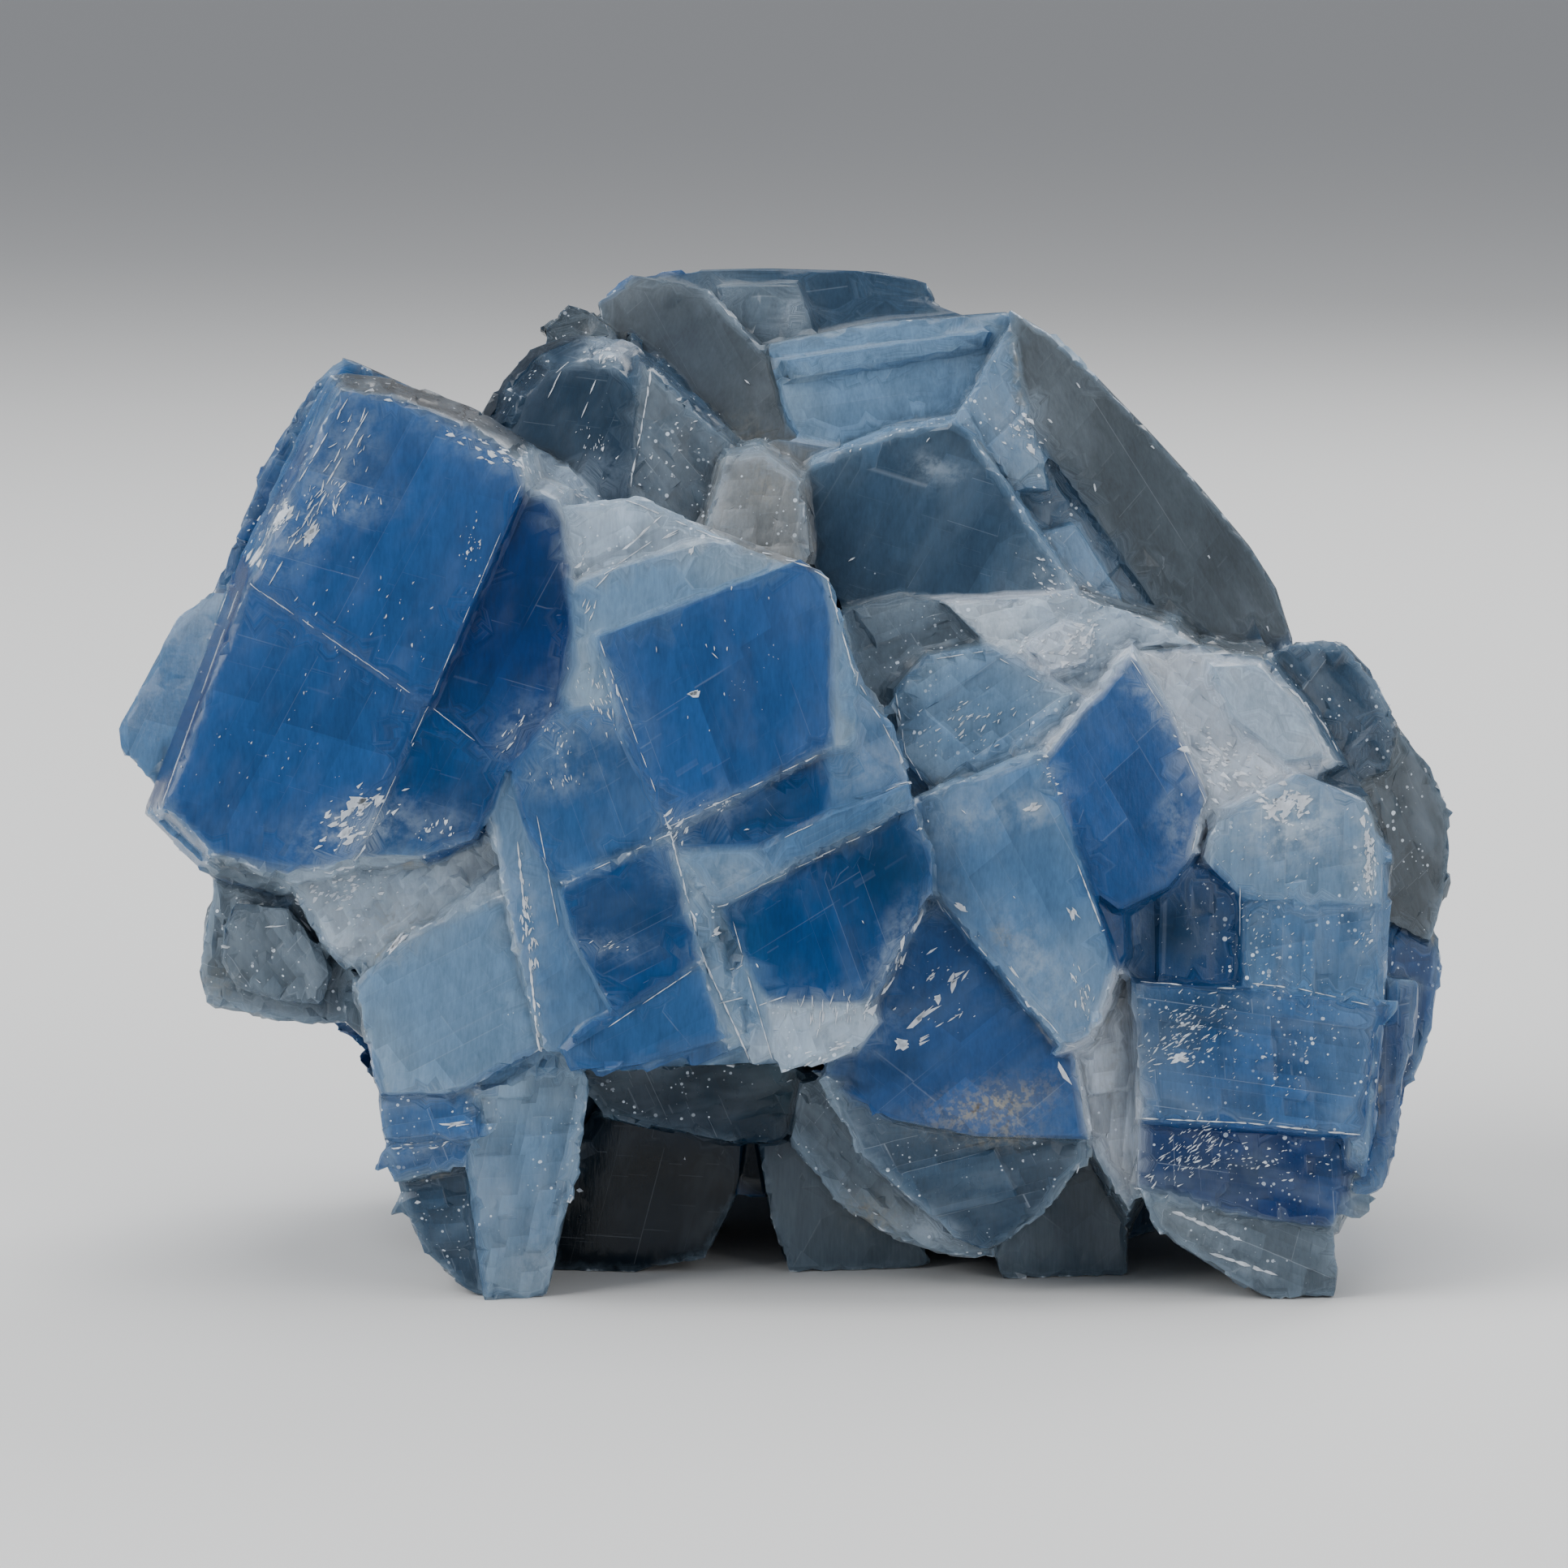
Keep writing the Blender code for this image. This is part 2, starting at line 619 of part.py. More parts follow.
def upper_crystals():
    """The blurred pieces above and behind: the dark rhomb, the cream crystal, the dome, the ridge and slabs."""
    return {
        "dark_rhomb": Crystal(
            anchor=(58.0, 32.0),
            depth=4.2,
            turn=-6.0,
            tip=7.0,
            flare=5.0,
            thickness=13.0,
            cells={
                "dark_face": (0.0, [
                    (49.2, 29.6), (50.0, 28.5), (55.0, 26.6), (58.6, 25.9), (60.0, 26.9), (66.4, 36.8),
                    (58.5, 37.6), (52.0, 37.2), (50.8, 36.2), (49.4, 33.5),
                ]),
            },
        ),
        "cream_crystal": Crystal(
            anchor=(47.0, 31.0),
            depth=2.4,
            turn=-14.0,
            tip=10.0,
            flare=4.0,
            thickness=12.0,
            cells={
                "cream_face": (0.0, [
                    (44.7, 28.0), (47.0, 27.5), (49.4, 29.5), (49.8, 34.2), (49.4, 35.4), (45.2, 34.4),
                    (43.4, 32.4),
                ]),
            },
        ),
        "dome": Crystal(
            anchor=(36.0, 26.0),
            depth=5.4,
            turn=-10.0,
            tip=14.0,
            flare=28.0,
            thickness=4.0,
            cells={
                "dome_face": (0.0, [
                    (31.2, 27.2), (32.2, 24.4), (34.0, 22.7), (36.4, 22.0), (38.2, 22.8), (39.2, 24.6),
                    (38.9, 28.5), (38.3, 32.5), (34.5, 30.8),
                ]),
            },
        ),
        "dome_body": Crystal(
            anchor=(36.0, 26.0),
            depth=8.2,
            turn=-10.0,
            tip=14.0,
            flare=-4.0,
            thickness=14.0,
            cells={
                "body": (0.0, [
                    (29.5, 26.1), (30.9, 23.5), (32.5, 21.6), (35.0, 20.6), (37.2, 20.7), (39.4, 22.0),
                    (42.0, 24.5), (44.0, 28.5), (40.0, 33.0), (34.5, 30.5), (31.0, 28.5),
                ]),
            },
        ),
        "dome_flank": Crystal(
            anchor=(41.8, 27.5),
            depth=5.4,
            turn=16.0,
            tip=12.0,
            flare=6.0,
            thickness=12.0,
            cells={
                "flank": (0.0, [
                    (39.4, 22.2), (41.8, 24.0), (44.3, 26.5), (46.3, 28.3), (45.3, 31.5), (43.5, 33.2),
                    (39.5, 32.0), (38.7, 30.0), (39.0, 25.5),
                ]),
            },
        ),
        "small_tip": Crystal(
            anchor=(35.6, 20.5),
            depth=12.0,
            turn=-8.0,
            tip=18.0,
            flare=-2.0,
            thickness=10.0,
            cells={
                "tip": (0.0, [
                    (33.6, 20.1), (35.2, 18.8), (36.4, 19.2), (38.0, 20.5), (38.5, 23.5), (34.0, 23.5),
                ]),
            },
        ),
        "back_ridge_left": Crystal(
            anchor=(44.0, 23.0),
            depth=13.0,
            turn=-16.0,
            tip=18.0,
            flare=-2.0,
            thickness=18.0,
            cells={
                "olive_face": (0.0, [
                    (36.7, 18.6), (39.0, 16.9), (43.5, 17.8), (48.0, 22.5), (50.2, 29.0), (46.5, 29.5),
                    (42.5, 28.0), (38.5, 23.0),
                ]),
            },
        ),
        "back_ridge_top": Crystal(
            anchor=(49.0, 19.0),
            depth=18.0,
            turn=4.0,
            tip=16.0,
            flare=-3.0,
            thickness=16.0,
            cells={
                "top_face": (0.0, [
                    (38.9, 17.1), (43.0, 16.6), (47.0, 16.5), (54.0, 16.7), (57.2, 17.4), (57.9, 19.3),
                    (57.5, 22.0), (48.0, 23.0), (42.5, 21.5),
                ]),
                "top_bump": (0.8, [
                    (44.2, 17.6), (49.2, 17.4), (50.2, 20.4), (45.6, 20.8),
                ]),
            },
        ),
        "long_slab": Crystal(
            anchor=(55.0, 23.0),
            depth=9.8,
            turn=4.0,
            tip=14.0,
            flare=0.0,
            thickness=14.0,
            cells={
                "slab_face": (0.0, [
                    (47.2, 21.2), (54.0, 19.8), (62.0, 19.2), (62.4, 20.2), (58.6, 26.1), (50.2, 28.8),
                    (48.2, 25.2),
                ]),
                "slab_band": (0.5, [
                    (48.0, 22.2), (61.0, 20.3), (60.6, 21.4), (48.6, 23.4),
                ]),
            },
        ),
        "ridge": Crystal(
            anchor=(64.0, 29.0),
            depth=6.4,
            turn=16.0,
            tip=9.0,
            flare=-2.0,
            thickness=14.0,
            cells={
                "ridge_top": (0.0, [
                    (58.6, 25.8), (62.2, 19.9), (64.6, 30.2), (62.2, 30.2),
                ]),
                "ridge_run": (-0.6, [
                    (60.2, 27.0), (63.5, 26.3), (67.0, 30.0), (71.0, 34.5), (72.6, 38.4), (66.4, 37.2),
                ]),
                "ridge_pane": (0.0, [
                    (64.0, 32.8), (66.2, 32.2), (69.0, 36.6), (66.4, 36.8),
                ]),
            },
        ),
        "grey_flank": Crystal(
            anchor=(71.0, 31.0),
            depth=9.4,
            turn=30.0,
            tip=14.0,
            flare=-3.0,
            thickness=20.0,
            cells={
                "grey_wall": (0.0, [
                    (62.0, 18.9), (64.8, 20.6), (67.6, 23.2), (70.7, 26.4), (74.0, 30.0), (77.0, 33.6),
                    (78.6, 36.1), (79.8, 39.8), (74.0, 40.6), (72.0, 38.6), (63.2, 26.0),
                ]),
            },
        ),
    }


def right_crystals():
    """The tall speckled crystal whose tip is the right foot, its stepped edge and the round grey mass behind."""
    return {
        "right_face": Crystal(
            anchor=(77.0, 63.0),
            depth=-2.6,
            turn=4.0,
            tip=2.0,
            flare=2.0,
            cells={
                "pale_top": (0.1, [
                    (74.2, 53.1), (75.0, 50.0), (80.0, 47.6), (84.0, 49.2), (85.1, 51.5), (85.2, 55.8),
                    (76.5, 55.3),
                ]),
                "upper_right": (-0.2, [
                    (76.4, 54.9), (85.1, 55.6), (84.8, 62.0), (76.5, 61.0),
                ]),
                "dark_left": (-0.8, [
                    (69.2, 55.6), (74.1, 53.1), (76.7, 55.0), (76.7, 61.0), (69.8, 60.8),
                ]),
                "middle_band": (-0.05, [
                    (69.6, 60.5), (76.5, 60.8), (84.8, 61.9), (84.0, 70.1), (70.2, 69.1),
                ]),
                "lower_band": (-0.6, [
                    (70.2, 68.8), (84.0, 69.8), (82.9, 74.2), (82.2, 75.7), (75.0, 74.7), (70.0, 73.3),
                ]),
            },
        ),
        "right_tip": Crystal(
            anchor=(77.0, 75.0),
            depth=-1.9,
            turn=4.0,
            tip=-16.0,
            flare=-3.0,
            thickness=11.0,
            cells={
                "tip": (0.0, [
                    (70.0, 73.2), (75.0, 74.3), (82.3, 75.3), (82.5, 78.0), (82.2, 80.2), (80.5, 81.2),
                    (76.8, 79.3), (71.5, 76.1),
                ]),
            },
        ),
        "right_steps": Crystal(
            anchor=(85.0, 62.0),
            depth=-1.4,
            turn=16.0,
            tip=2.0,
            flare=-2.0,
            thickness=10.0,
            cells={
                "first_step": (0.0, [
                    (84.4, 50.5), (85.5, 52.0), (85.6, 55.5), (85.2, 62.5), (84.6, 70.2), (83.9, 72.8),
                    (83.0, 70.0),
                ]),
                "second_step": (-1.8, [
                    (85.2, 60.2), (87.4, 60.4), (86.9, 65.0), (85.4, 73.1), (83.2, 73.9), (83.4, 66.0),
                ]),
            },
        ),
        "right_body": Crystal(
            anchor=(77.0, 63.0),
            depth=0.4,
            turn=4.0,
            tip=0.0,
            flare=-7.0,
            thickness=20.0,
            cells={
                "body": (0.0, [
                    (69.4, 55.2), (74.2, 50.2), (80.0, 47.9), (84.8, 51.0), (85.2, 60.0), (84.4, 69.5),
                    (82.0, 76.5), (78.0, 78.0), (70.2, 73.0),
                ]),
            },
        ),
        "right_shoulder": Crystal(
            anchor=(82.0, 43.5),
            depth=4.4,
            turn=12.0,
            tip=16.0,
            flare=-3.0,
            thickness=16.0,
            cells={
                "shoulder": (0.0, [
                    (77.9, 40.4), (79.8, 39.6), (82.7, 39.5), (84.5, 41.5), (86.1, 44.7), (85.6, 47.5),
                    (82.2, 48.4), (80.0, 44.8),
                ]),
            },
        ),
        "right_mass": Crystal(
            anchor=(86.5, 51.0),
            depth=5.0,
            turn=26.0,
            tip=4.0,
            flare=-8.0,
            thickness=20.0,
            cells={
                "mass_upper": (0.0, [
                    (85.0, 44.2), (86.1, 44.6), (88.1, 47.0), (89.4, 50.2), (89.4, 54.2), (88.2, 58.2),
                    (85.0, 56.5), (82.0, 51.0), (82.4, 47.0),
                ]),
                "mass_lower": (-0.9, [
                    (84.0, 54.0), (88.2, 56.8), (88.8, 59.0), (88.4, 63.1), (87.1, 66.8), (85.0, 67.5),
                    (83.0, 60.5),
                ]),
            },
        ),
    }


def inner_mass():
    """The massive calcite that every crystal grows out of, all of it behind the faces that show."""
    return {
        "right_middle_body": Crystal(
            anchor=(64.0, 50.0),
            depth=0.2,
            turn=0.0,
            tip=14.0,
            flare=-6.0,
            thickness=18.0,
            cells={
                "body": (0.0, [
                    (52.4, 39.5), (57.0, 38.0), (72.0, 39.0), (78.0, 41.5), (81.0, 46.5), (76.0, 52.5),
                    (69.5, 59.0), (67.0, 64.4), (60.0, 62.0), (54.5, 56.0),
                ]),
            },
        ),
        "core": Crystal(
            anchor=(48.0, 50.0),
            depth=8.0,
            turn=0.0,
            tip=0.0,
            flare=-10.0,
            thickness=23.0,
            cells={
                "core": (0.0, [
                    (33.0, 30.0), (48.0, 27.0), (62.0, 29.0), (76.0, 40.0), (83.6, 48.0), (84.6, 62.0),
                    (80.5, 71.0), (69.0, 73.6), (62.0, 74.4), (45.0, 73.8), (38.0, 74.4), (28.5, 72.5),
                    (15.0, 53.0), (12.5, 46.0), (17.0, 34.0),
                ]),
            },
        ),
        "upper_core": Crystal(
            anchor=(56.0, 30.0),
            depth=14.0,
            turn=0.0,
            tip=20.0,
            flare=-10.0,
            thickness=16.0,
            cells={
                "core": (0.0, [
                    (38.5, 19.5), (47.0, 18.0), (57.0, 18.5), (62.0, 20.5), (70.0, 28.8), (76.5, 36.4),
                    (79.0, 42.0), (60.0, 48.0), (38.0, 30.0),
                ]),
            },
        ),
    }


# Back rhombs: middle (x, y, z) and edge lengths in mm, turned (x, y, z) in degrees, terraces
BACK_RHOMBS = {
    "back_left_low": ((-15.0, 25.0, 12.5), (20.0, 17.0, 15.0), (35.0, 20.0, 15.0), 1),
    "back_left_high": ((-20.0, 23.0, 33.0), (19.0, 17.0, 15.0), (70.0, -15.0, 40.0), 2),
    "back_middle_low": ((-1.0, 31.0, 12.0), (18.0, 19.0, 15.0), (110.0, 10.0, 20.0), 1),
    "back_middle": ((2.0, 31.0, 30.0), (22.0, 19.0, 17.0), (60.0, 25.0, -10.0), 2),
    "back_right_low": ((19.0, 28.0, 13.0), (20.0, 17.0, 15.0), (95.0, -20.0, -25.0), 2),
    "back_right": ((23.0, 28.0, 30.0), (20.0, 18.0, 14.0), (50.0, -10.0, 65.0), 1),
    "back_top": ((9.0, 31.0, 46.0), (19.0, 17.0, 14.0), (20.0, 35.0, 10.0), 2),
    "back_top_left": ((-8.0, 27.0, 44.0), (18.0, 16.0, 14.0), (80.0, 40.0, 30.0), 1),
    "side_left": ((-28.0, 14.0, 25.0), (16.0, 14.0, 12.0), (15.0, 60.0, 20.0), 1),
    "side_left_low": ((-21.5, 20.0, 19.0), (14.0, 13.0, 11.0), (100.0, 35.0, 70.0), 1),
    "side_right": ((30.2, 17.0, 17.0), (15.0, 14.0, 12.0), (65.0, 15.0, -50.0), 1),
    "side_right_high": ((29.5, 18.0, 28.5), (16.0, 13.0, 11.0), (25.0, 75.0, 10.0), 1),
    "side_top_right": ((15.0, 24.0, 40.0), (17.0, 15.0, 13.0), (30.0, -30.0, 50.0), 1),
    "under_left": ((-14.0, 16.0, 8.0), (16.0, 14.0, 12.0), (25.0, 10.0, 60.0), 0),
    "under_right": ((17.0, 16.0, 9.0), (17.0, 15.0, 13.0), (75.0, 30.0, 5.0), 0),
}


def clear_scene():
    for found in list(bpy.data.objects):
        bpy.data.objects.remove(found)


def new_collection(name):
    made = bpy.data.collections.new(name)
    bpy.context.scene.collection.children.link(made)
    return made


def add_object(name, mesh_in_mm, collection):
    """Stores a mesh built in millimetres as an object in metres, measured from the middle of the base."""
    bmesh.ops.translate(mesh_in_mm, verts=mesh_in_mm.verts, vec=-BASE_MIDDLE)
    bmesh.ops.scale(mesh_in_mm, verts=mesh_in_mm.verts, vec=(MM, MM, MM))
    bmesh.ops.triangulate(mesh_in_mm, faces=mesh_in_mm.faces)
    bmesh.ops.recalc_face_normals(mesh_in_mm, faces=mesh_in_mm.faces)
    mesh = bpy.data.meshes.new(name)
    mesh_in_mm.to_mesh(mesh)
    mesh_in_mm.free()
    made = bpy.data.objects.new(name, mesh)
    collection.objects.link(made)
    return made


def hide_helper(helper):
    helper.hide_render = True
    helper.display_type = "WIRE"


def calcite_material():
    material = bpy.data.materials.new("blue_calcite")
    material.use_nodes = True
    shader = material.node_tree.nodes["Principled BSDF"]
    shader.inputs["Base Color"].default_value = BLUE
    shader.inputs["Roughness"].default_value = ROUGHNESS
    shader.inputs["Metallic"].default_value = 0.0
    return material


def all_crystals():
    groups = (
        left_crystal, lower_left_crystals, centre_crystal, lower_centre_crystals,
        right_middle_crystals, upper_crystals, right_crystals, inner_mass,
    )
    return {name: crystal for group in groups for name, crystal in group().items()}


def table_cutter(collection):
    """A block whose top is the table, which takes off what would stand below it."""
    block = bmesh.new()
    bmesh.ops.create_cube(block, size=BLANK)
    bmesh.ops.translate(block, verts=block.verts, vec=(0.0, 0.0, -BLANK / 2))
    return add_object("table_cutter", block, collection)


def outer_shell(mesh_in_m):
    """The biggest closed surface of a mesh. Gaps sealed between crystals are dropped: real calcite fills them."""
    unseen = set(mesh_in_m.faces)
    shells = []
    while unseen:
        shell = [unseen.pop()]
        for face in shell:
            for neighbour in {other for edge in face.edges for other in edge.link_faces} & unseen:
                unseen.remove(neighbour)
                shell.append(neighbour)
        shells.append(shell)
    return max(shells, key=len)


def make_solid(stone):
    """Replaces the stone and its Booleans by the one closed surface that they give."""
    joined = bpy.data.meshes.new_from_object(stone.evaluated_get(bpy.context.evaluated_depsgraph_get()))
    stone.modifiers.clear()
    surface = bmesh.new()
    surface.from_mesh(joined)
    bmesh.ops.remove_doubles(surface, verts=surface.verts, dist=WELD)
    kept = set(outer_shell(surface))
    bmesh.ops.delete(surface, geom=[face for face in surface.faces if face not in kept], context="FACES")
    bmesh.ops.triangulate(surface, faces=surface.faces)
    surface.to_mesh(stone.data)
    surface.free()
    bpy.data.meshes.remove(joined)


def main():
    clear_scene()
    parts = new_collection("blue_calcite_cluster")
    growths = new_collection("crystals_to_join")
    cutters = new_collection("cutters")
    crystals = all_crystals()
    seed = crystals.pop("core")
    stone = add_object("blue_calcite", cell_mesh(seed, *seed.cells["core"]), parts)
    for crystal_name, crystal in crystals.items():
        for cell_name, (rise, outline) in crystal.cells.items():
            grown = cell_mesh(crystal, rise, outline)
            hide_helper(add_object(f"{crystal_name}.{cell_name}", grown, growths))
    for name, (middle, edges, turned, terraces) in BACK_RHOMBS.items():
        hide_helper(add_object(name, rhomb_mesh(middle, edges, turned, terraces), growths))
    join = stone.modifiers.new("join_crystals", "BOOLEAN")
    join.operation = "UNION"
    join.operand_type = "COLLECTION"
    join.collection = growths
    join.use_self = True
    trim = stone.modifiers.new("flat_on_table", "BOOLEAN")
    trim.operation = "DIFFERENCE"
    trim.object = table_cutter(cutters)
    hide_helper(trim.object)
    make_solid(stone)
    stone.data.materials.append(calcite_material())


main()
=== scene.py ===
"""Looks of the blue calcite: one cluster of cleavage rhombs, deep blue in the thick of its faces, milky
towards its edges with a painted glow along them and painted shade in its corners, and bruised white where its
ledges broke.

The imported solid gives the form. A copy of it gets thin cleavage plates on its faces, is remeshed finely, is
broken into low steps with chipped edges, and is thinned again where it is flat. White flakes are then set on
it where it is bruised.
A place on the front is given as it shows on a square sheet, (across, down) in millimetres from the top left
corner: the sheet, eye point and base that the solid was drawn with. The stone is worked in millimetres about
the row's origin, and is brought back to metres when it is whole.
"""

import math
from dataclasses import dataclass

import bmesh
import bpy
import numpy as np
from mathutils import Matrix, Vector, noise
from mathutils.bvhtree import BVHTree


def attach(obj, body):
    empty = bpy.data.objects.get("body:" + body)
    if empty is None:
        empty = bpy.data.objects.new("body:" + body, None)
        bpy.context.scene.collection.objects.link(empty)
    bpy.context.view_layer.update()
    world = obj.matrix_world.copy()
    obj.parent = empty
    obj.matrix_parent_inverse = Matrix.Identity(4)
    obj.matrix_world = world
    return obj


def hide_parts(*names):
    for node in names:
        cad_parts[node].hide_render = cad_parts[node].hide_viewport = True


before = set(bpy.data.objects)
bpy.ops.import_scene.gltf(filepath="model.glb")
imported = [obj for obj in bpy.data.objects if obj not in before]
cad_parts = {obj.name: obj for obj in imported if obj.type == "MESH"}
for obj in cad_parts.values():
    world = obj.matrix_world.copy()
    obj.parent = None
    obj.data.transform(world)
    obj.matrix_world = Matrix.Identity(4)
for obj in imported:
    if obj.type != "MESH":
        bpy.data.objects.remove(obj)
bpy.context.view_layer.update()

# The drawing sheet and the eye that looks down on it by VIEW_TIP, in millimetres
MM = 0.001
SHEET = 96.6
TABLE_LINE = 80.0
VIEW_DISTANCE = 362.0
VIEW_TIP = math.radians(8.0)
BASE_MIDDLE = Vector((0.05, 17.69, 0.0))
RIGHT = Vector((1.0, 0.0, 0.0))
INTO = Vector((0.0, math.cos(VIEW_TIP), -math.sin(VIEW_TIP)))
UP = Vector((0.0, math.sin(VIEW_TIP), math.cos(VIEW_TIP)))
SHEET_MIDDLE = Vector((0.0, 0.0, (TABLE_LINE - SHEET / 2) * math.cos(VIEW_TIP)))
EYE = SHEET_MIDDLE - INTO * VIEW_DISTANCE - BASE_MIDDLE

# The fine mesh: its voxels and the cells that each keep one corner are in millimetres
VOXEL = 0.24
BODY_TRIANGLES = 150000
KEPT_EVERY = 1.15
EVENNESS = 0.004
CELLS_ACROSS = 4096
WELD = 0.002
SEED = 7

# The angles between triangles of one flat face, at a sharp edge and at an edge that still shades smooth
SAME_FACE = math.radians(1.0)
SHARP_EDGE = math.radians(18.0)
SMOOTH_UNDER = math.radians(28.0)

# In millimetres: the widest riser of a low step, the large blocks, small blocks and hackles of cleavage, and
# the distance past which edges and corners change nothing
LOW_STEP = 1.3
BLOCK = 3.1
FLAW = 1.1
HACKLE = 0.6
FAR = 4.0

# How many times longer than wide a block is, and how much its rows lean and wander
BLOCK_LENGTH = 1.7
BLOCK_LEAN = 0.21
BLOCK_WANDER = 1.4

# The corner angle of a cleavage plate, and the least value of each coordinate: nothing goes under the table
CORNER_ANGLE = math.radians(78.08)
ABOVE_TABLE = (-1000.0, -1000.0, 0.0)

# Node trees: a socket's type follows from its default value
ORIGIN = (0.0, 0.0, 0.0)
FLOAT = "NodeSocketFloat"
VECTOR = "NodeSocketVector"
SOCKETS = {float: FLOAT, int: "NodeSocketInt", tuple: VECTOR}
NODE_GAP = 180

# How a face broke
DULL = -1.0
GLASSY = 0.0
STEPPED = 1.0
ROUGH = 2.0


@dataclass(frozen=True)
class Tone:
    """The colour of a face at its heart, where the stone is thick behind it, and at its thin rim."""

    heart: tuple
    rim: tuple


TONES = {
    "navy": Tone((0.000, 0.018, 0.090), (0.003, 0.034, 0.120)),
    "deep": Tone((0.001, 0.036, 0.128), (0.010, 0.066, 0.175)),
    "azure": Tone((0.012, 0.058, 0.178), (0.032, 0.090, 0.220)),
    # Near black: painted shade on the faces under the arch, at the back foot and on the dome's left
    "shaded_black": Tone((0.000, 0.003, 0.006), (0.001, 0.008, 0.014)),
    "ash": Tone((0.018, 0.020, 0.022), (0.034, 0.036, 0.038)),
    "sky": Tone((0.020, 0.074, 0.190), (0.054, 0.120, 0.240)),
    "soft": Tone((0.055, 0.128, 0.246), (0.096, 0.174, 0.282)),
    "pale": Tone((0.105, 0.190, 0.300), (0.165, 0.245, 0.330)),
    "milky": Tone((0.250, 0.325, 0.410), (0.330, 0.390, 0.450)),
    "frost": Tone((0.360, 0.415, 0.490), (0.440, 0.480, 0.530)),
    "slate": Tone((0.026, 0.055, 0.095), (0.050, 0.080, 0.115)),
    "grey": Tone((0.080, 0.112, 0.145), (0.115, 0.148, 0.178)),
    "smoke": Tone((0.040, 0.055, 0.068), (0.066, 0.084, 0.100)),
    "ink": Tone((0.001, 0.018, 0.042), (0.012, 0.042, 0.075)),
    "teal": Tone((0.000, 0.014, 0.030), (0.006, 0.030, 0.048)),
    "cream": Tone((0.145, 0.160, 0.170), (0.200, 0.205, 0.200)),
}

# Faces far from every drawn one take one of these. Sides of drawn faces under this area, in square
# millimetres, break in steps
HIDDEN_TONES = ("ink", "slate", "azure", "deep", "sky", "soft", "pale", "grey", "milky")
SMALL_AREA = 40.0


@dataclass(frozen=True)
class Face:
    """One cleavage face of the front: where its heart is on the sheet and how far in millimetres the heart's
    colour reaches, its tone and finish, and the way its grain runs on the sheet, in degrees from level."""

    heart: tuple
    tone: str
    reach: float
    finish: float = GLASSY
    grain: float = None


LEFT_GRAIN = 62.0
CENTRE_GRAIN = -70.0

